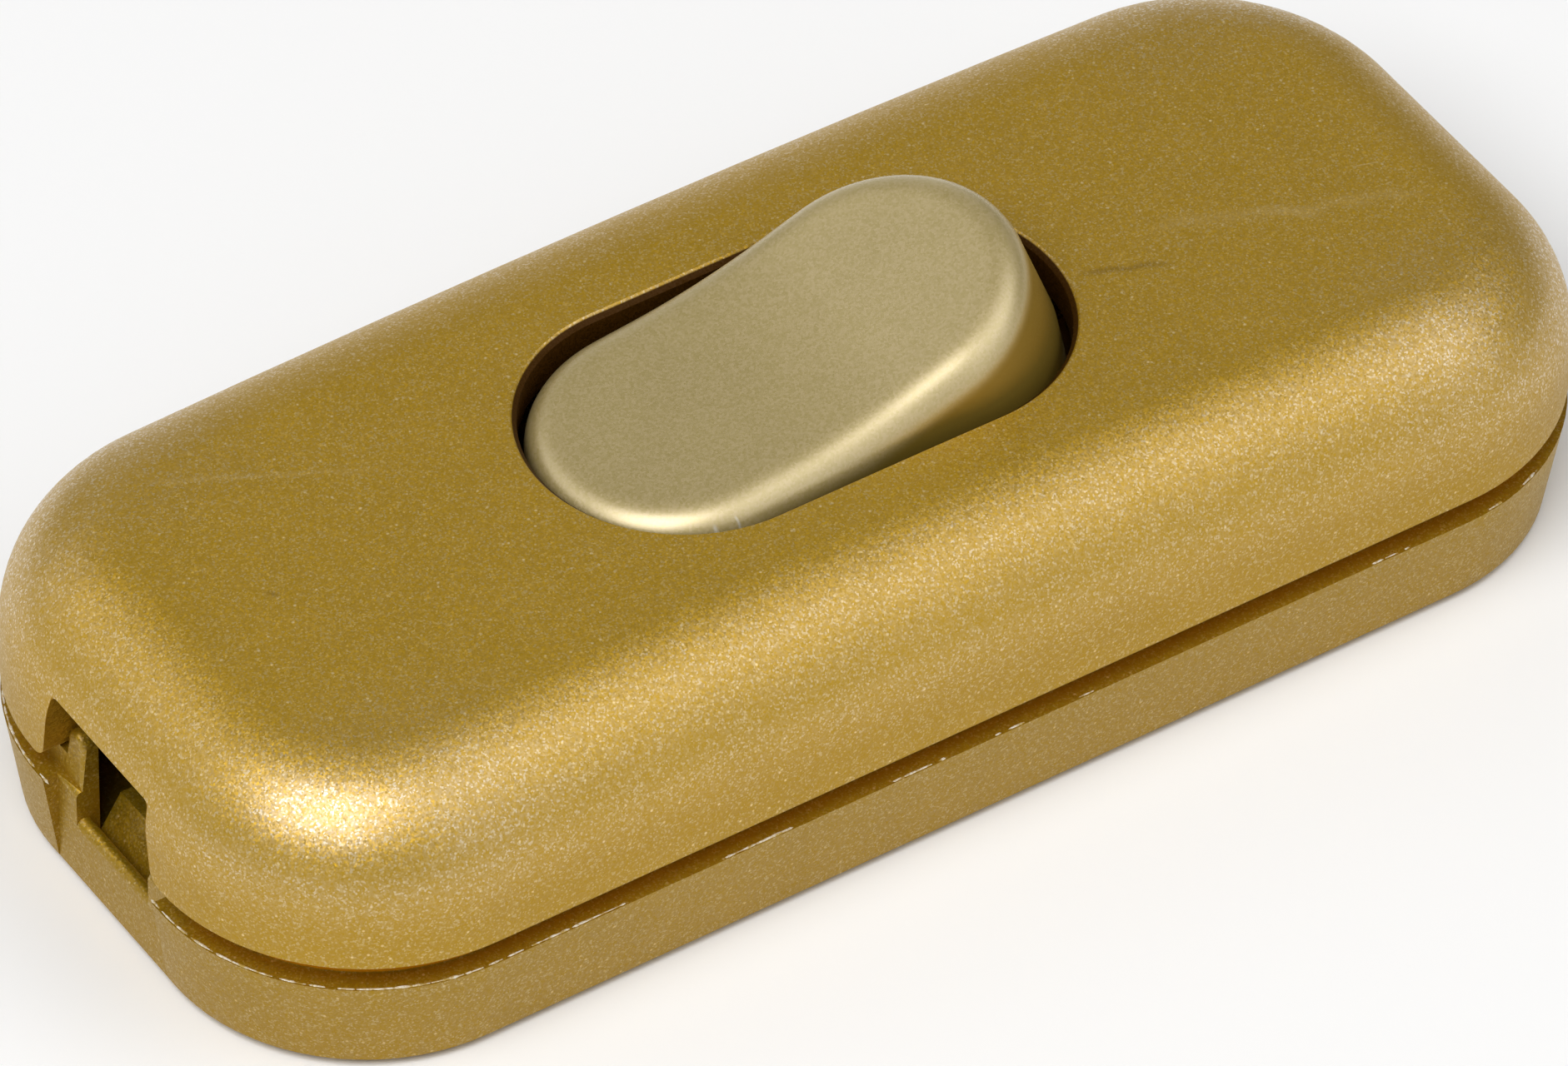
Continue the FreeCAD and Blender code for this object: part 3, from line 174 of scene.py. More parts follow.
# The base's upper edge, where the mould left a ragged flash, with fewer gaps towards the left end
BASE_LENGTH, BASE_WIDTH, BASE_CORNER, BASE_EDGE = 60.0, 26.0, 8.75, 4.5
PANEL_HALF_WIDTH = 3.75
FLASH_INSET, FLASH_SINK, CORNER_STEPS = 0.09, 0.03, 40
FLASH_STEP, FLASH_THICKNESS, FLASH_SIDES = 0.15, 0.075, 6
FLASH_PATCH, FLASH_BARE, FLASH_SEED = 3.4, 0.58, 7
FEWER_GAPS_FROM, FEWER_GAPS_TO, FEWER_GAPS = -12, -21, -0.24
UNEVEN_SIZE, UNEVEN_FROM, UNEVEN_TO = 0.5, (0.3, 0.7), (0.20, 1.15)
SLIVER_SPACING, SLIVER_LENGTH = 0.9, 0.42
SLIVER_LEAST, SLIVER_MOST = (0.10, 0.10, 0.35), (0.20, 0.18, 1.0)
# The flash's own dark tone, and a pale tone painted on it as a painted highlight
FLASH_DARK, FLASH_HIGHLIGHT_PALE = (0.46, 0.31, 0.06), (0.84, 0.79, 0.66)
TORN_SIZE, TORN_RANGE = 0.30, (0.36, 0.60)
FLASH_GRAIN, FLASH_ROUGH_SPREAD, FLASH_ROUGH = 0.2, 0.20, 0.35

# The base's posts and sills at the cord entries: the places of their outer faces, and their worn round
POST_FACE, SILL_FACE, POST_INSIDE, SILL_OUTSIDE = 29.1, 29.375, 2.4, 3.8
ENTRY_ROUND, ENTRY_STEPS = 0.22, 3
FACE_PLAY, EDGE_PLAY, LEVEL_PLAY = 0.03, 0.01, 0.02


class Value:
    """A shader value that does sums: each operator adds a Math node."""

    def __init__(self, finish, socket):
        self.finish = finish
        self.socket = socket

    def maths(self, operation, first, second):
        return self.finish.node("ShaderNodeMath", {"operation": operation}, {0: first, 1: second})

    def __add__(self, other):
        return self.maths("ADD", self, other)

    def __radd__(self, other):
        return self.maths("ADD", other, self)

    def __sub__(self, other):
        return self.maths("SUBTRACT", self, other)

    def __rsub__(self, other):
        return self.maths("SUBTRACT", other, self)

    def __mul__(self, other):
        return self.maths("MULTIPLY", self, other)

    def __rmul__(self, other):
        return self.maths("MULTIPLY", other, self)

    def __abs__(self):
        return self.maths("ABSOLUTE", self, 0.0)


class Finish:
    """A material whose nodes are added one call at a time."""

    def __init__(self, name):
        self.material = bpy.data.materials.new(name)
        self.material.use_nodes = True
        self.tree = self.material.node_tree
        self.tree.nodes.clear()
        self.place = self.node("ShaderNodeTexCoord", {}, {}, "Object")

    def node(self, kind, settings, inputs, output=0):
        """Any node: its settings first, then the values or links of its sockets."""
        node = self.tree.nodes.new(kind)
        for name, value in settings.items():
            setattr(node, name, value)
        for key, value in inputs.items():
            if isinstance(value, Value):
                self.tree.links.new(value.socket, node.inputs[key])
            else:
                node.inputs[key].default_value = value
        return None if output is None else Value(self, node.outputs[output])

    def along(self, axis, place=None):
        """How far along an axis a point lies, of the object or of another place."""
        return self.node("ShaderNodeSeparateXYZ", {}, {"Vector": place or self.place}, axis)

    def noise(self, size, detail=2.0, roughness=0.5, stretch=None):
        """Soft noise whose blotches are about size millimetres across."""
        place = self.place
        if stretch:
            place = self.node("ShaderNodeMapping", {}, {"Vector": place, "Scale": stretch})
        return self.node("ShaderNodeTexNoise", {}, {
            "Vector": place, "Scale": 1 / (size * MM), "Detail": detail, "Roughness": roughness})

    def cells(self, size):
        """Small cells of one size, as a colour for each and a number from 0 to 1 drawn for each."""
        tint = self.node("ShaderNodeTexVoronoi", {}, {
            "Vector": self.place, "Scale": 1 / (size * MM)}, "Color")
        lot = self.node("ShaderNodeTexWhiteNoise", {"noise_dimensions": "3D"}, {"Vector": tint})
        return tint, lot

    def step(self, value, low, high):
        """A smooth step from 0 at low to 1 at high."""
        return self.node("ShaderNodeMapRange", {"interpolation_type": "SMOOTHSTEP"},
                         {"Value": value, "From Min": low, "From Max": high})

    def fade(self, value, low, high):
        """A smooth step between two distances in millimetres."""
        return self.step(value, low * MM, high * MM)

    def streak(self, start, end, width, waver):
        """A soft line over the top from one place to another, 1 along its middle and 0 beside it."""
        run, rise = end[0] - start[0], end[1] - start[1]
        length = math.hypot(run, rise)
        line = self.node("ShaderNodeMapping", {"vector_type": "TEXTURE"}, {
            "Vector": self.place, "Location": (start[0] * MM, start[1] * MM, 0),
            "Rotation": (0, 0, math.atan2(rise, run))})
        on = self.along("X", line)
        off = abs(self.along("Y", line) + (self.noise(MARK_WAVE) - 0.5) * waver * MM)
        ends = self.fade(on, 0.0, length * MARK_FADE) * (1 - self.fade(on, length * (1 - MARK_FADE), length))
        return ends * (1 - self.fade(off, 0.0, width))

    def mix(self, share, first, second, how="MIX"):
        """One colour over another."""
        return self.node("ShaderNodeMix", {"data_type": "RGBA", "blend_type": how, "clamp_factor": True},
                         {0: share, 6: first, 7: second}, 2)

    def bump(self, height, strength, depth):
        return self.node("ShaderNodeBump", {}, {
            "Height": height, "Strength": strength, "Distance": depth * MM})

    def surface(self, inputs):
        """The shader and the material's output."""
        shader = self.node("ShaderNodeBsdfPrincipled", {}, inputs)
        self.node("ShaderNodeOutputMaterial", {"is_active_output": True}, {"Surface": shader}, None)
        return self.material


def colour(red, green, blue):
    return (red, green, blue, 1.0)


def grey(level):
    return colour(level, level, level)


def groove_bounce_band(finish):
    """1 on the recessed band between base and cover, where an orange tone is painted as the light bounced round
    the groove, 0 elsewhere on the base.
    """
    low, high = GROOVE_RISE
    above_edge = finish.fade(finish.along("Z"), BASE_EDGE + low, BASE_EDGE + high)
    near, far = GROOVE_START
    return above_edge * finish.fade(abs(finish.along("Y")), PANEL_HALF_WIDTH + near, PANEL_HALF_WIDTH + far)


def opening_wall_shade(finish):
    """1 on the cover's cut wall round the rocker's opening, which is painted dark as painted shade, 0 elsewhere.
    """
    over = abs(finish.along("X")) - (OPENING_HALF_LENGTH - OPENING_HALF_WIDTH) * MM
    over = finish.node("ShaderNodeMath", {"operation": "MAXIMUM"}, {0: over, 1: 0.0})
    flat = finish.node("ShaderNodeCombineXYZ", {}, {"X": over, "Y": finish.along("Y")})
    out = finish.node("ShaderNodeVectorMath", {"operation": "LENGTH"}, {0: flat}, "Value")
    edge = OPENING_HALF_WIDTH + OPENING_CHAMFER
    inside = 1 - finish.fade(out, edge - OPENING_FADE[0], edge - OPENING_FADE[1])
    return inside * finish.fade(finish.along("Z"), *OPENING_RISE)


def notch_wall_shade(finish):
    """1 on the leaning walls of the cover's cord notches, which are painted darker as painted shade, 0 elsewhere.
    """
    lean = (NOTCH_FOOT - NOTCH_TOP) / (NOTCH_TOP_LEVEL - NOTCH_FOOT_LEVEL)
    jamb = NOTCH_FOOT * MM - (finish.along("Z") - NOTCH_FOOT_LEVEL * MM) * lean
    within = 1 - finish.fade(abs(finish.along("Y")) - jamb, *JAMB_FADE)
    under = 1 - finish.fade(finish.along("Z"), NOTCH_TOP_LEVEL - LIP_FADE[0], NOTCH_TOP_LEVEL - LIP_FADE[1])
    return within * under * finish.fade(abs(finish.along("X")), *NOTCH_START)


def pale_flakes_and_glints(finish):
    """1 on the few larger flakes, real coarse flakes whose pale tone is a painted glint, so that they show as
    bright dots from any side.
    """
    lot = finish.cells(GLINT_SIZE)[1]
    middle = finish.node("ShaderNodeTexVoronoi", {}, {
        "Vector": finish.place, "Scale": 1 / (GLINT_SIZE * MM)}, "Distance")
    return finish.step(lot, 1 - GLINT_SHARE, 1.0) * (1 - finish.step(middle, *GLINT_MIDDLE))


def flow_marks(finish, base):
    """Pale and dark lines that the plastic left as it flowed, and one hair scratch."""
    for marks, tone in ((PALE_MARKS, PALE_MARK_AND_GLINT_TONE), (DARK_MARKS, DARK_MARK_AND_SHADE_TONE)):
        for begin, end, width, waver, share in marks:
            base = finish.mix(finish.streak(begin, end, width, waver) * share, base, colour(*tone))
    return base


def polished(finish):
    """How polished the plastic is: 0 low on the walls, 1 towards the top."""
    return finish.fade(finish.along("Z"), POLISH_LOW, POLISH_HIGH)


def cover_details(finish, base):
    """The cover's painted shade low on its walls, its marks, its pale flakes painted as glints and the painted
    shade in its cuts, and a mask of the cuts, which don't shine.
    """
    opening_shade, notch_shade = opening_wall_shade(finish), notch_wall_shade(finish)
    # Painted shade: the walls darken towards the bottom, where the polish is low
    base = finish.mix((1 - polished(finish)) * LOW_WALL_SHADE, base, colour(*DARK_MARK_AND_SHADE_TONE))
    base = flow_marks(finish, base)
    base = finish.mix(pale_flakes_and_glints(finish), base, colour(*PALE_MARK_AND_GLINT_TONE))
    base = finish.mix(opening_shade, base, colour(*OPENING_SHADE_TONE))
    base = finish.mix(notch_shade, base, colour(*NOTCH_SHADE_TONE))
    return base, opening_shade + notch_shade


def base_details(finish, base):
    """The base darkened all over as painted shade, its pale flakes painted as glints and the painted bounce light
    in its groove, and a mask of the groove, which doesn't shine.
    """
    groove_bounce = groove_bounce_band(finish)
    # Painted shade: the whole base is darkened
    base = finish.mix(1.0, base, grey(BASE_SHADE), "MULTIPLY")
    base = finish.mix(pale_flakes_and_glints(finish) * BASE_GLINTS, base, colour(*PALE_MARK_AND_GLINT_TONE))
    return finish.mix(groove_bounce, base, colour(*GROOVE_BOUNCE_TONE)), groove_bounce


def gold_flake_plastic(name, skin, details):
    """Brown-gold moulded plastic, full of fine flakes that lie at small angles under a clear skin."""
    finish = Finish(name)
    tint, lot = finish.cells(FLAKE_SIZE)
    polish = polished(finish)
    blotches = finish.noise(GOLD_BLOTCH, detail=3.0)
    base = finish.mix(blotches, colour(*GOLD_DARK), colour(*GOLD_LIGHT))
    base = finish.mix(finish.step(lot, FLAKE_SHOWS, 1.0), base, colour(*FLAKE_TONE))
    base, shaded = details(finish, base)
    rubbed = polish * finish.fade(abs(finish.along("X")), *RUBBED_ALONG)
    rubbed = rubbed * finish.fade(abs(finish.along("Y")), *RUBBED_ACROSS)
    shine = lot * SHINE_SPREAD + finish.step(lot, FLAKE_SHINES, 1.0) * FLAKE_SHINE + SHINE_LEAST
    shine = shine * (polish * (skin - LOW_SKIN) + LOW_SKIN)
    shine = shine * (rubbed * RUBBED_GAIN + 1) * (1 - shaded)
    tilt = finish.node("ShaderNodeVectorMath", {"operation": "SUBTRACT"}, {0: tint, 1: (0.5, 0.5, 0.5)})
    tilt = finish.node("ShaderNodeVectorMath", {"operation": "SCALE"}, {0: tilt, "Scale": FLAKE_TILT})
    upright = finish.node("ShaderNodeNewGeometry", {}, {}, "Normal")
    normal = finish.node("ShaderNodeVectorMath", {"operation": "ADD"}, {0: upright, 1: tilt})
    normal = finish.node("ShaderNodeVectorMath", {"operation": "NORMALIZE"}, {0: normal})
    return finish.surface({
        "Base Color": base,
        "Metallic": GOLD_METAL - shaded * SHADED_METAL_LOSS,
        "Roughness": lot * ROUGH_SPREAD + GOLD_ROUGH,
        "Specular IOR Level": GOLD_SPECULAR,
        "Coat Weight": shine,
        "Coat IOR": SKIN_IOR,
        "Coat Roughness": SKIN_ROUGH,
        "Normal": normal,
    })


def champagne_satin(pivot):
    """The rocker's pale gold, smoother than the housing, with painted shade down its walls."""
    finish = Finish("champagne_satin")
    lot = finish.cells(ROCKER_GRAIN)[1]
    blotches = finish.noise(SATIN_BLOTCH, detail=3.0)
    base = finish.mix(blotches, colour(*CHAMPAGNE_DARK), colour(*CHAMPAGNE_LIGHT))
    base = finish.mix(lot * GRAIN_SHARE, base, colour(*CHAMPAGNE_GRAIN))
    own = finish.node("ShaderNodeMapping", {"vector_type": "TEXTURE"}, {
        "Vector": finish.place, "Location": pivot, "Rotation": (0, math.radians(-ROCKER_TILT), 0)})
    slope = math.tan(math.radians(DISH_SLOPE))
    below_dish = finish.along("Z", own) - abs(finish.along("X", own)) * slope
    # Painted shade: the walls below the rim take a deeper, darker tone
    wall_shade = 1 - finish.fade(below_dish, DISH_MIDDLE - WALL_FOOT, DISH_MIDDLE - WALL_HEAD)
    base = finish.mix(wall_shade, base, colour(*CHAMPAGNE_WALL_SHADE))
    on_rim = finish.fade(below_dish, DISH_MIDDLE - RIM_ROUND - RIM_FADE, DISH_MIDDLE - RIM_ROUND)
    for begin, end, width in RIM_NICKS:
        nick = finish.streak(begin, end, width, NICK_WAVER) * on_rim * NICK_SHARE
        base = finish.mix(nick, base, colour(*NICK_TONE))
    return finish.surface({
        "Base Color": base,
        "Metallic": SATIN_METAL,
        "Roughness": lot * ROUGH_SPREAD + SATIN_ROUGH,
        "Coat Weight": 1 - wall_shade * WALL_SKIN_LOSS,
        "Coat IOR": SATIN_SKIN_IOR,
        "Coat Roughness": SATIN_SKIN_ROUGH,
        "Normal": finish.bump(finish.noise(SATIN_PITS, roughness=0.6), SATIN_PIT_SHOW, PIT_DEPTH),
    })


def worn_metal(name, tone, dull, roughness):
    """A bare metal with faint drawing marks and dull patches."""
    finish = Finish(name)
    marks = finish.noise(DRAWN_SIZE, detail=3.0, roughness=0.6, stretch=DRAWN_STRETCH)
    patches = finish.step(finish.noise(DULL_SIZE, detail=3.0), *DULL_RANGE)
    return finish.surface({
        "Base Color": finish.mix(patches, colour(*tone), colour(*dull)),
        "Metallic": 1.0,
        "Roughness": marks * DRAWN_ROUGH + roughness,
        "Normal": finish.bump(marks, DRAWN_SHOW, PIT_DEPTH),
    })


def moulded_plastic(name, light, dark, roughness):
    """A plain moulded plastic with a fine matt grain."""
    finish = Finish(name)
    grain = finish.noise(MATT_SIZE)
    return finish.surface({
        "Base Color": finish.mix(finish.noise(MATT_BLOTCH, detail=3.0), colour(*dark), colour(*light)),
        "Roughness": grain * MATT_ROUGH + roughness,
        "Normal": finish.bump(grain, MATT_SHOW, PIT_DEPTH),
    })


def flash_gold():
    """Thin torn flash, with patches of a pale tone painted on it as the highlight its thin edge catches."""
    finish = Finish("flash_gold")
    torn = finish.step(finish.noise(TORN_SIZE, detail=3.0, roughness=0.6), *TORN_RANGE)
    return finish.surface({
        "Base Color": finish.mix(torn, colour(*FLASH_DARK), colour(*FLASH_HIGHLIGHT_PALE)),
        "Roughness": finish.noise(FLASH_GRAIN) * FLASH_ROUGH_SPREAD + FLASH_ROUGH,
    })


def pale_floor():
    """A floor that the camera and mirrors see white, and that throws less light up at the switch."""
    finish = Finish("pale_floor")
    seen = finish.mix(finish.noise(FLOOR_BLOTCH), *(grey(level) for level in FLOOR_WHITES))
    camera, gloss, glass = (finish.node("ShaderNodeLightPath", {}, {}, name)
                            for name in ("Is Camera Ray", "Is Glossy Ray", "Is Transmission Ray"))
    base = finish.mix(camera + gloss + glass, grey(FLOOR_GREY), seen)
    return finish.surface({"Base Color": base, "Roughness": FLOOR_ROUGH, "Specular IOR Level": 0.0})


def new_piece(name, mesh, material):
    piece = bpy.data.objects.new(name, mesh)
    bpy.context.scene.collection.objects.link(piece)
    mesh.materials.clear()
    mesh.materials.append(material)
    return piece


def baked(piece):
    """The piece with its modifiers made part of its mesh."""
    graph = bpy.context.evaluated_depsgraph_get()
    mesh = bpy.data.meshes.new_from_object(piece.evaluated_get(graph))
    piece.modifiers.clear()
    piece.data = mesh
    return piece


def entry_edge(edge):
    """Whether an edge runs round the outer face of a post or along a sill at a cord entry."""
    first, second = (vert.co / MM for vert in edge.verts)
    in_plane = abs(first.x - second.x) < EDGE_PLAY
    above = min(first.z, second.z) > BASE_EDGE - LEVEL_PLAY
    on_face = any(abs(abs(first.x) - face) < FACE_PLAY for face in (POST_FACE, SILL_FACE))
    beside = all(POST_INSIDE < abs(point.y) < SILL_OUTSIDE for point in (first, second))
    crisp = edge.calc_face_angle_signed(0.0) > math.radians(CRISP_ANGLE)
    return in_plane and above and on_face and beside and crisp


def eased_copy(name, node, material, worn=None):
    """A housing node's own solid with its triangles joined, its worn edges rounded and the rest eased."""
    mesh = frame["nodes"][node].data.copy()
    form = bmesh.new()
    form.from_mesh(mesh)
    bmesh.ops.remove_doubles(form, verts=form.verts, dist=JOIN_DISTANCE * MM)
    bmesh.ops.dissolve_limit(form, angle_limit=math.radians(FLAT_ANGLE), verts=form.verts, edges=form.edges)
    if worn:
        bmesh.ops.bevel(form, geom=[edge for edge in form.edges if worn(edge)], offset=ENTRY_ROUND * MM,
                        segments=ENTRY_STEPS, profile=0.5, affect="EDGES", clamp_overlap=False)
    form.to_mesh(mesh)
    form.free()
    piece = new_piece(name, mesh, material)
    bevel = piece.modifiers.new("ease", "BEVEL")
    bevel.width = EASE_WIDTH * MM
    bevel.segments = EASE_STEPS
    bevel.limit_method = "ANGLE"
    bevel.angle_limit = math.radians(CRISP_ANGLE)
    bevel.use_clamp_overlap = True
    for face in mesh.polygons:
        face.use_smooth = True
    smooth = piece.modifiers.new("smooth", "WEIGHTED_NORMAL")
    smooth.keep_sharp = False
    baked(piece)
    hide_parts(node)
    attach(piece, "housing")


def stadium(half_length, half_width, arc_steps, side_steps):
    """Points round a slot with full round ends, anticlockwise from the start of the near side."""
    reach = half_length - half_width
    points = []
    for step in range(side_steps):
        points.append((-reach + 2 * reach * step / side_steps, -half_width))
    for step in range(arc_steps):
        turn = math.pi * (step / arc_steps - 0.5)
        points.append((reach + half_width * math.cos(turn), half_width * math.sin(turn)))
    for step in range(side_steps):
        points.append((reach - 2 * reach * step / side_steps, half_width))
    for step in range(arc_steps):
        turn = math.pi * (step / arc_steps + 0.5)
        points.append((-reach + half_width * math.cos(turn), half_width * math.sin(turn)))
    return points


def dish_height(x):
    """Height of the rocker's dished top above its pivot: two slopes with a round between them."""
    slope = math.radians(DISH_SLOPE)
    if abs(x) < DISH_ROUND * math.sin(slope):
        return DISH_MIDDLE + DISH_ROUND / math.cos(slope) - math.sqrt(DISH_ROUND ** 2 - x * x)
    return DISH_MIDDLE + abs(x) * math.tan(slope)


def rocker_point(x, y, level, inset):
    """A point of the rocker's unit outline, drafted to its level and moved in by an inset."""
    reach = ROCKER_HALF_LENGTH - ROCKER_HALF_WIDTH
    share = max(level, 0.0) / RIM_LEVEL
    half_length = ROCKER_HALF_LENGTH + (RIM_HALF_LENGTH - ROCKER_HALF_LENGTH) * share
    half_width = ROCKER_HALF_WIDTH + (RIM_HALF_WIDTH - ROCKER_HALF_WIDTH) * share
    side = max(-reach, min(reach, x))
    along = side * (half_length - half_width) / reach
    return (along + (x - side) * (half_width - inset), y * (half_width - inset))


def wall_top(x, y):
    """The level where the wall gives way to the round rim, found by steps because the dish slopes."""
    level = DISH_MIDDLE
    for _ in range(LEVEL_ROUNDS):
        level = dish_height(rocker_point(x, y, level, 0.0)[0]) - RIM_ROUND
    return level


def rocker_rings():
    """Rings of points from the skirt, up the drafted wall, over the round rim and onto the dish."""
    reach = ROCKER_HALF_LENGTH - ROCKER_HALF_WIDTH
    outline = stadium(reach + 1.0, 1.0, END_STEPS, SIDE_STEPS)
    tops = [wall_top(x, y) for x, y in outline]
    rings = [[(*rocker_point(x, y, 0.0, 0.0), -SKIRT_DROP) for x, y in outline]]
    for step in range(WALL_STEPS + 1):
        levels = [top * step / WALL_STEPS for top in tops]
        rings.append([(*rocker_point(x, y, level, 0.0), level) for (x, y), level in zip(outline, levels)])
    turns = [math.pi / 2 * step / RIM_STEPS for step in range(1, RIM_STEPS + 1)]
    curve = [(RIM_ROUND * (1 - math.cos(turn)), RIM_ROUND * (1 - math.sin(turn))) for turn in turns]
    for inset, drop in curve + [(RIM_ROUND * DISH_INSET, 0.0)]:
        places = [rocker_point(x, y, top, inset) for (x, y), top in zip(outline, tops)]
        rings.append([(x, y, dish_height(x) - drop) for x, y in places])
    return rings


def ring_mesh(name, rings):
    """A closed skin through stadium rings. The last ring is filled with strips from side to side."""
    form = bmesh.new()
    rows = [[form.verts.new(Vector(point) * MM) for point in points] for points in rings]
    count = len(rings[0])
    for lower, upper in zip(rows, rows[1:]):
        for index in range(count):
            following = (index + 1) % count
            form.faces.new((lower[index], lower[following], upper[following], upper[index]))
    form.faces.new(list(reversed(rows[0])))
    last = rows[-1]
    tip = min(range(count), key=lambda index: last[index].co.x)
    near = [last[(tip + step) % count] for step in range(count // 2 + 1)]
    far = [last[(tip - step) % count] for step in range(count // 2 + 1)]
    for step in range(count // 2):
        strip = (near[step], near[step + 1], far[step + 1], far[step])
        form.faces.new(list(dict.fromkeys(strip)))
    bmesh.ops.recalc_face_normals(form, faces=form.faces)
    mesh = bpy.data.meshes.new(name)
    form.to_mesh(mesh)
    form.free()
    return mesh


def rod(radius, start, end):
    """A closed rod between two points, in the rocker's own frame."""
    start, end = Vector(start) * MM, Vector(end) * MM
    along = end - start
    turn = along.to_track_quat("Z", "Y").to_matrix().to_4x4()
    form = bmesh.new()
    bmesh.ops.create_cone(form, cap_ends=True, segments=ROD_SIDES, radius1=radius * MM, radius2=radius * MM,
                          depth=along.length, matrix=Matrix.Translation((start + end) / 2) @ turn)
    mesh = bpy.data.meshes.new("rod")
    form.to_mesh(mesh)
    form.free()
    return mesh


def carve(piece, mesh, operation):
    """Join a mesh to the piece or cut it away."""
    tool = bpy.data.objects.new("tool", mesh)
    bpy.context.scene.collection.objects.link(tool)
    change = piece.modifiers.new(operation, "BOOLEAN")
    change.operation = operation
    change.object = tool
    change.solver = "EXACT"
    baked(piece)
    bpy.data.objects.remove(tool)
    bpy.data.meshes.remove(mesh)


def rocker_place():
    """The rocker's pivot, and the turn from level to its place at rest."""
    pivot = next(joint for joint in frame["joints"] if joint["name"] == "rocker_tilt")["pos_m"]
    return Vector(pivot), Matrix.Rotation(math.radians(-ROCKER_TILT), 4, "Y")


def build_rocker():
    pivot, lean = rocker_place()
    piece = new_piece("rocker_key", ring_mesh("rocker_key", rocker_rings()), champagne_satin(pivot))
    roof = DISH_MIDDLE - ROCKER_ROOF
    inside = stadium(ROCKER_HALF_LENGTH - ROCKER_WALL * 2, ROCKER_HALF_WIDTH - ROCKER_WALL,
                     HOLLOW_END_STEPS, HOLLOW_SIDE_STEPS)
    hollow = [[(x, y, level) for x, y in inside] for level in (-SKIRT_DROP * 2, roof)]
    carve(piece, ring_mesh("hollow", hollow), "DIFFERENCE")
    carve(piece, rod(STEM_RADIUS, (0, 0, -STEM_DROP), (0, 0, roof + STEM_SINK)), "UNION")
    carve(piece, rod(BORE_RADIUS, (0, 0, -STEM_DROP * 2), (0, 0, DISH_MIDDLE - BORE_ROOF)), "DIFFERENCE")
    for side in (-1, 1):
        root, tip = (0, side * (ROCKER_HALF_WIDTH - PIN_SINK), 0), (0, side * PIN_REACH, 0)
        carve(piece, rod(PIN_RADIUS, root, tip), "UNION")
    for face in piece.data.polygons:
        face.use_smooth = True
    piece.data.set_sharp_from_angle(angle=math.radians(ROCKER_CRISP))
    piece.data.transform(Matrix.Translation(pivot) @ lean)
    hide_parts("rocker")
    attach(piece, "rocker")


def grow(tree, kind, inputs, settings=None):
    """A node of a shape tree, with its settings and the values or links of its sockets."""
    node = tree.nodes.new(kind)
    for name, value in (settings or {}).items():
        setattr(node, name, value)
    for key, value in inputs.items():
        if isinstance(value, bpy.types.NodeSocket):
            tree.links.new(value, node.inputs[key])
        else:
            node.inputs[key].default_value = value
    return node.outputs


def new_tree(name, sizes):
    """A shape tree with a geometry input and output and a named input for each size."""
    tree = bpy.data.node_groups.new(name, "GeometryNodeTree")
    tree.interface.new_socket("Geometry", in_out="INPUT", socket_type="NodeSocketGeometry")
    for size, value in sizes.items():
        kind = "NodeSocketInt" if isinstance(value, int) else "NodeSocketFloat"
        tree.interface.new_socket(size, in_out="INPUT", socket_type=kind)
    tree.interface.new_socket("Geometry", in_out="OUTPUT", socket_type="NodeSocketGeometry")
    return tree


def finish_tree(tree, shape, material):
    """The end of a shape tree: real geometry with its material."""
    shape = grow(tree, "GeometryNodeRealizeInstances", {"Geometry": shape})[0]
    shape = grow(tree, "GeometryNodeSetMaterial", {"Geometry": shape, "Material": material})[0]
    grow(tree, "NodeGroupOutput", {0: shape})


def shaped(piece, tree, sizes):
    """The piece with a shape tree run on it and made part of its mesh."""
    modifier = piece.modifiers.new(tree.name, "NODES")
    modifier.node_group = tree
    for socket in tree.interface.items_tree:
        if socket.name in sizes:
            modifier[socket.identifier] = sizes[socket.name]
    return baked(piece)


def coil_tree(sizes, material):
    """A round wire wound into an open coil, from its foot up."""
    tree = new_tree("spring_coil", sizes)
    given = grow(tree, "NodeGroupInput", {})
    path = grow(tree, "GeometryNodeCurveSpiral", {
        "Resolution": TURN_STEPS, "Rotations": given["Turns"], "Start Radius": given["Radius"],
        "End Radius": given["Radius"], "Height": given["Rise"]})["Curve"]
    wire = grow(tree, "GeometryNodeCurvePrimitiveCircle", {
        "Resolution": WIRE_SIDES, "Radius": given["Wire Radius"]})["Curve"]
    coil = grow(tree, "GeometryNodeCurveToMesh", {
        "Curve": path, "Profile Curve": wire, "Fill Caps": True})["Mesh"]
    finish_tree(tree, coil, material)
    return tree


def build_spring(material):
    """The plunger's spring, a coil in the stem's bore from its foot up."""
    pivot, lean = rocker_place()
    length = SPRING_HEAD - SPRING_FOOT
    sizes = {"Radius": SPRING_RADIUS * MM, "Rise": (length - SPRING_WIRE) * MM, "Turns": SPRING_TURNS,
             "Wire Radius": SPRING_WIRE / 2 * MM}
    piece = new_piece("spring_coil", bpy.data.meshes.new("spring_coil"), material)
    shaped(piece, coil_tree(sizes, material), sizes)
    form = bmesh.new()
    form.from_mesh(piece.data)
    bmesh.ops.recalc_face_normals(form, faces=form.faces)
    form.to_mesh(piece.data)
    form.free()
    foot = Vector((0, 0, SPRING_FOOT + SPRING_WIRE / 2)) * MM
    piece.data.transform(Matrix.Translation(pivot) @ lean @ Matrix.Translation(foot))
    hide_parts("plunger_spring")
    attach(piece, "rocker")
    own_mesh(piece)


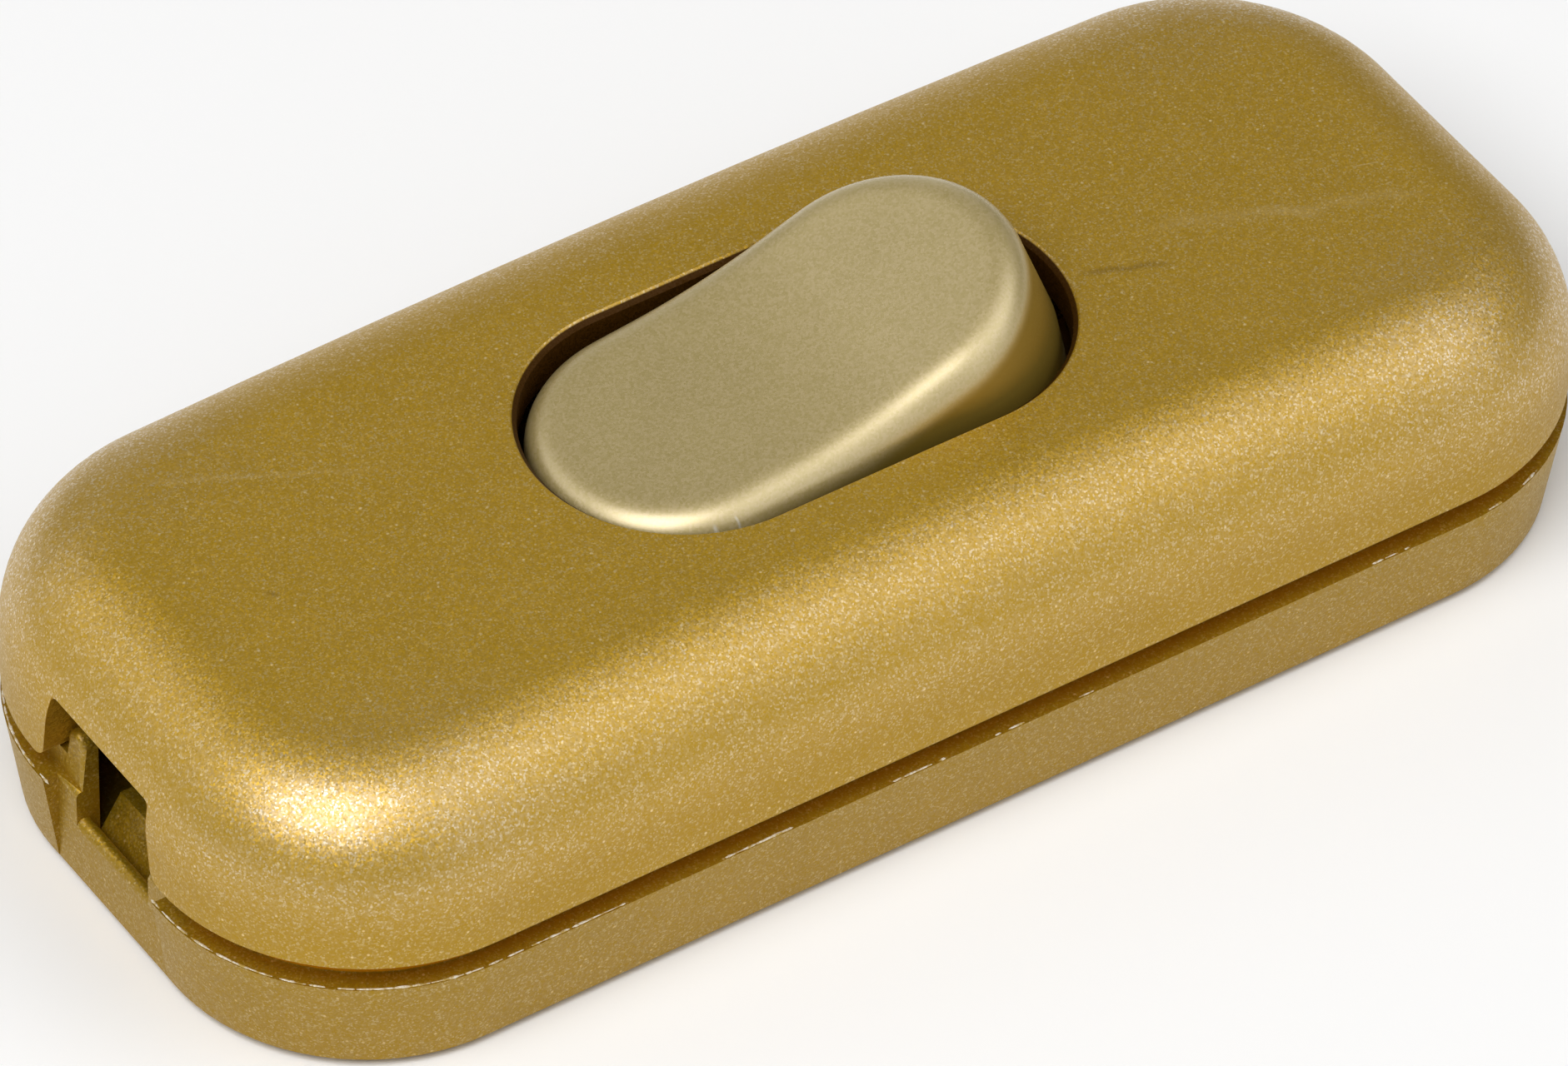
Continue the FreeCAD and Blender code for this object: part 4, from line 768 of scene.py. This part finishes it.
def edge_path(side):
    """Half of the base's upper edge, from one end panel round to the other."""
    half_length, half_width = BASE_LENGTH / 2 - FLASH_INSET, BASE_WIDTH / 2 - FLASH_INSET
    radius = BASE_CORNER - FLASH_INSET
    reach, across = half_length - radius, half_width - radius
    turns = [math.radians(90 * step / CORNER_STEPS) for step in range(CORNER_STEPS + 1)]
    left = [(-reach - radius * math.cos(turn), side * (across + radius * math.sin(turn))) for turn in turns]
    right = [(-x, y) for x, y in reversed(left)]
    first, last = (-half_length, side * PANEL_HALF_WIDTH), (half_length, side * PANEL_HALF_WIDTH)
    level = BASE_EDGE - FLASH_SINK
    return [Vector((x, y, level)) * MM for x, y in [first] + left + right + [last]]


def flash_tree(sizes, material):
    """Torn flash along a path: broken stretches of a thin uneven thread, with slivers on it."""
    tree = new_tree("edge_flash", sizes)
    given = grow(tree, "NodeGroupInput", {})
    place = grow(tree, "GeometryNodeInputPosition", {})[0]
    curve = grow(tree, "GeometryNodeMeshToCurve", {"Mesh": given["Geometry"]})["Curve"]
    curve = grow(tree, "GeometryNodeResampleCurve", {
        "Curve": curve, "Length": given["Step"]}, {"mode": "LENGTH"})["Curve"]
    line = grow(tree, "GeometryNodeCurveToMesh", {"Curve": curve})["Mesh"]
    patch_scale = grow(tree, "ShaderNodeMath", {
        0: 1.0, 1: given["Patch Length"]}, {"operation": "DIVIDE"})[0]
    patch = grow(tree, "ShaderNodeTexNoise", {
        "Vector": place, "W": given["Seed"], "Scale": patch_scale, "Detail": 3.0},
        {"noise_dimensions": "4D"})[0]
    along = grow(tree, "ShaderNodeSeparateXYZ", {"Vector": place})["X"]
    fewer_gaps = grow(tree, "ShaderNodeMapRange", {
        "Value": along, "From Min": FEWER_GAPS_TO * MM, "From Max": FEWER_GAPS_FROM * MM,
        "To Min": FEWER_GAPS, "To Max": 0.0})[0]
    limit = grow(tree, "ShaderNodeMath", {0: given["Bare Share"], 1: fewer_gaps}, {"operation": "ADD"})[0]
    bare = grow(tree, "FunctionNodeCompare", {"A": patch, "B": limit}, {"operation": "LESS_THAN"})[0]
    line = grow(tree, "GeometryNodeDeleteGeometry", {
        "Geometry": line, "Selection": bare}, {"domain": "EDGE"})[0]
    thread = grow(tree, "GeometryNodeMeshToCurve", {"Mesh": line})["Curve"]
    uneven = grow(tree, "ShaderNodeTexNoise", {
        "Vector": place, "Scale": 1 / (UNEVEN_SIZE * MM), "Detail": 2.0})[0]
    width = grow(tree, "ShaderNodeMapRange", {
        "Value": uneven, "From Min": UNEVEN_FROM[0], "From Max": UNEVEN_FROM[1],
        "To Min": UNEVEN_TO[0], "To Max": UNEVEN_TO[1]})[0]
    section = grow(tree, "GeometryNodeCurvePrimitiveCircle", {
        "Resolution": FLASH_SIDES, "Radius": given["Thickness"]})["Curve"]
    skin = grow(tree, "GeometryNodeCurveToMesh", {
        "Curve": thread, "Profile Curve": section, "Scale": width, "Fill Caps": True})["Mesh"]
    spots = grow(tree, "GeometryNodeCurveToPoints", {
        "Curve": thread, "Length": given["Sliver Spacing"]}, {"mode": "LENGTH"})
    sliver = grow(tree, "GeometryNodeMeshIcoSphere", {
        "Radius": given["Sliver Length"], "Subdivisions": 1})["Mesh"]
    size = grow(tree, "FunctionNodeRandomValue", {
        "Min": SLIVER_LEAST, "Max": SLIVER_MOST, "Seed": given["Seed"]}, {"data_type": "FLOAT_VECTOR"})[0]
    slivers = grow(tree, "GeometryNodeInstanceOnPoints", {
        "Points": spots["Points"], "Instance": sliver, "Rotation": spots["Rotation"], "Scale": size})[0]
    joined = grow(tree, "GeometryNodeJoinGeometry", {})[0]
    for part in (slivers, skin):
        tree.links.new(part, joined.node.inputs[0])
    finish_tree(tree, joined, material)
    return tree


def build_flash():
    """The flash on both halves of the base's upper edge, as one plain mesh."""
    near, far = edge_path(-1), edge_path(1)
    links = [(index, index + 1) for index in range(len(near) - 1)]
    links += [(first + len(near), second + len(near)) for first, second in links]
    mesh = bpy.data.meshes.new("edge_flash")
    mesh.from_pydata(near + far, links, [])
    material = flash_gold()
    sizes = {"Step": FLASH_STEP * MM, "Thickness": FLASH_THICKNESS * MM, "Patch Length": FLASH_PATCH * MM,
             "Bare Share": FLASH_BARE, "Sliver Spacing": SLIVER_SPACING * MM,
             "Sliver Length": SLIVER_LENGTH * MM, "Seed": FLASH_SEED}
    piece = new_piece("edge_flash", mesh, material)
    shaped(piece, flash_tree(sizes, material), sizes)
    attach(piece, "housing")


def dress_inner_pieces():
    """The pieces inside keep their own solids and get their metals and plastics."""
    finishes = {name: worn_metal(name, *look) for name, look in METALS.items()}
    finishes.update({name: moulded_plastic(name, *look) for name, look in PLASTICS.items()})
    for part in frame["record"]["subparts"]:
        if part["material_slot"] in finishes:
            mesh = frame["nodes"][part["node"]].data
            mesh.materials.clear()
            mesh.materials.append(finishes[part["material_slot"]])
    return finishes


def make_floor():
    mesh = bpy.data.meshes.new("floor")
    half, level = FLOOR_HALF * MM, FLOOR_LEVEL * MM
    corners = [(-half, -half, level), (half, -half, level), (half, half, level), (-half, half, level)]
    mesh.from_pydata(corners, [], [(0, 1, 2, 3)])
    new_piece("floor", mesh, pale_floor())


def direction(azimuth, elevation):
    """From the switch towards a place round it. Azimuth 0 is in front of its near long side."""
    a, e = math.radians(azimuth), math.radians(elevation)
    return Vector((math.sin(a) * math.cos(e), -math.cos(a) * math.cos(e), math.sin(e)))


def soft_light(name, azimuth, elevation, size, power):
    """A square soft box that faces the switch from a direction round it."""
    lamp = bpy.data.lights.new(name, "AREA")
    lamp.size = size
    lamp.energy = power
    back = direction(azimuth, elevation)
    light = bpy.data.objects.new(name, lamp)
    bpy.context.scene.collection.objects.link(light)
    light.location = back * LAMP_DISTANCE
    light.rotation_euler = back.to_track_quat("Z", "Y").to_euler()


def light_studio():
    world = bpy.data.worlds.new("studio")
    bpy.context.scene.world = world
    world.use_nodes = True
    background = world.node_tree.nodes["Background"]
    background.inputs["Color"].default_value = grey(1.0)
    background.inputs["Strength"].default_value = WORLD_STRENGTH
    for name, place in LAMPS.items():
        soft_light(name, *place)


def make_camera():
    """The photograph's view, from its angles, its roll and the place it aims at."""
    back = direction(VIEW_AZIMUTH, VIEW_ELEVATION)
    a, roll = math.radians(VIEW_AZIMUTH), math.radians(VIEW_ROLL)
    level = Vector((math.cos(a), math.sin(a), 0))
    right = level * math.cos(roll) + back.cross(level) * math.sin(roll)
    up = back.cross(right)
    cover_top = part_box("upper_housing")[1].z
    aim = Vector((0, 0, cover_top / 2)) + (right * AIM_RIGHT + up * AIM_UP) * MM
    lens = bpy.data.cameras.new("photo_view")
    lens.sensor_width = SENSOR
    lens.sensor_fit = "HORIZONTAL"
    lens.lens = SENSOR * PIXELS_PER_MM * VIEW_DISTANCE / PHOTO_WIDTH
    lens.clip_start = NEAR_CLIP * MM
    camera = bpy.data.objects.new("photo_view", lens)
    bpy.context.scene.collection.objects.link(camera)
    turn = Matrix((right, up, back)).transposed().to_4x4()
    camera.matrix_world = Matrix.Translation(aim + back * VIEW_DISTANCE * MM) @ turn
    bpy.context.scene.camera = camera


cover_gold = gold_flake_plastic("cover_gold", COVER_SKIN, cover_details)
base_gold = gold_flake_plastic("base_gold", BASE_SKIN, base_details)
eased_copy("cover_shell", "upper_housing", cover_gold)
eased_copy("base_shell", "lower_housing", base_gold, worn=entry_edge)
build_rocker()
build_flash()
inner_finishes = dress_inner_pieces()
build_spring(inner_finishes["spring_steel"])
make_floor()
light_studio()
make_camera()

bpy.context.scene.view_settings.view_transform = "Standard"
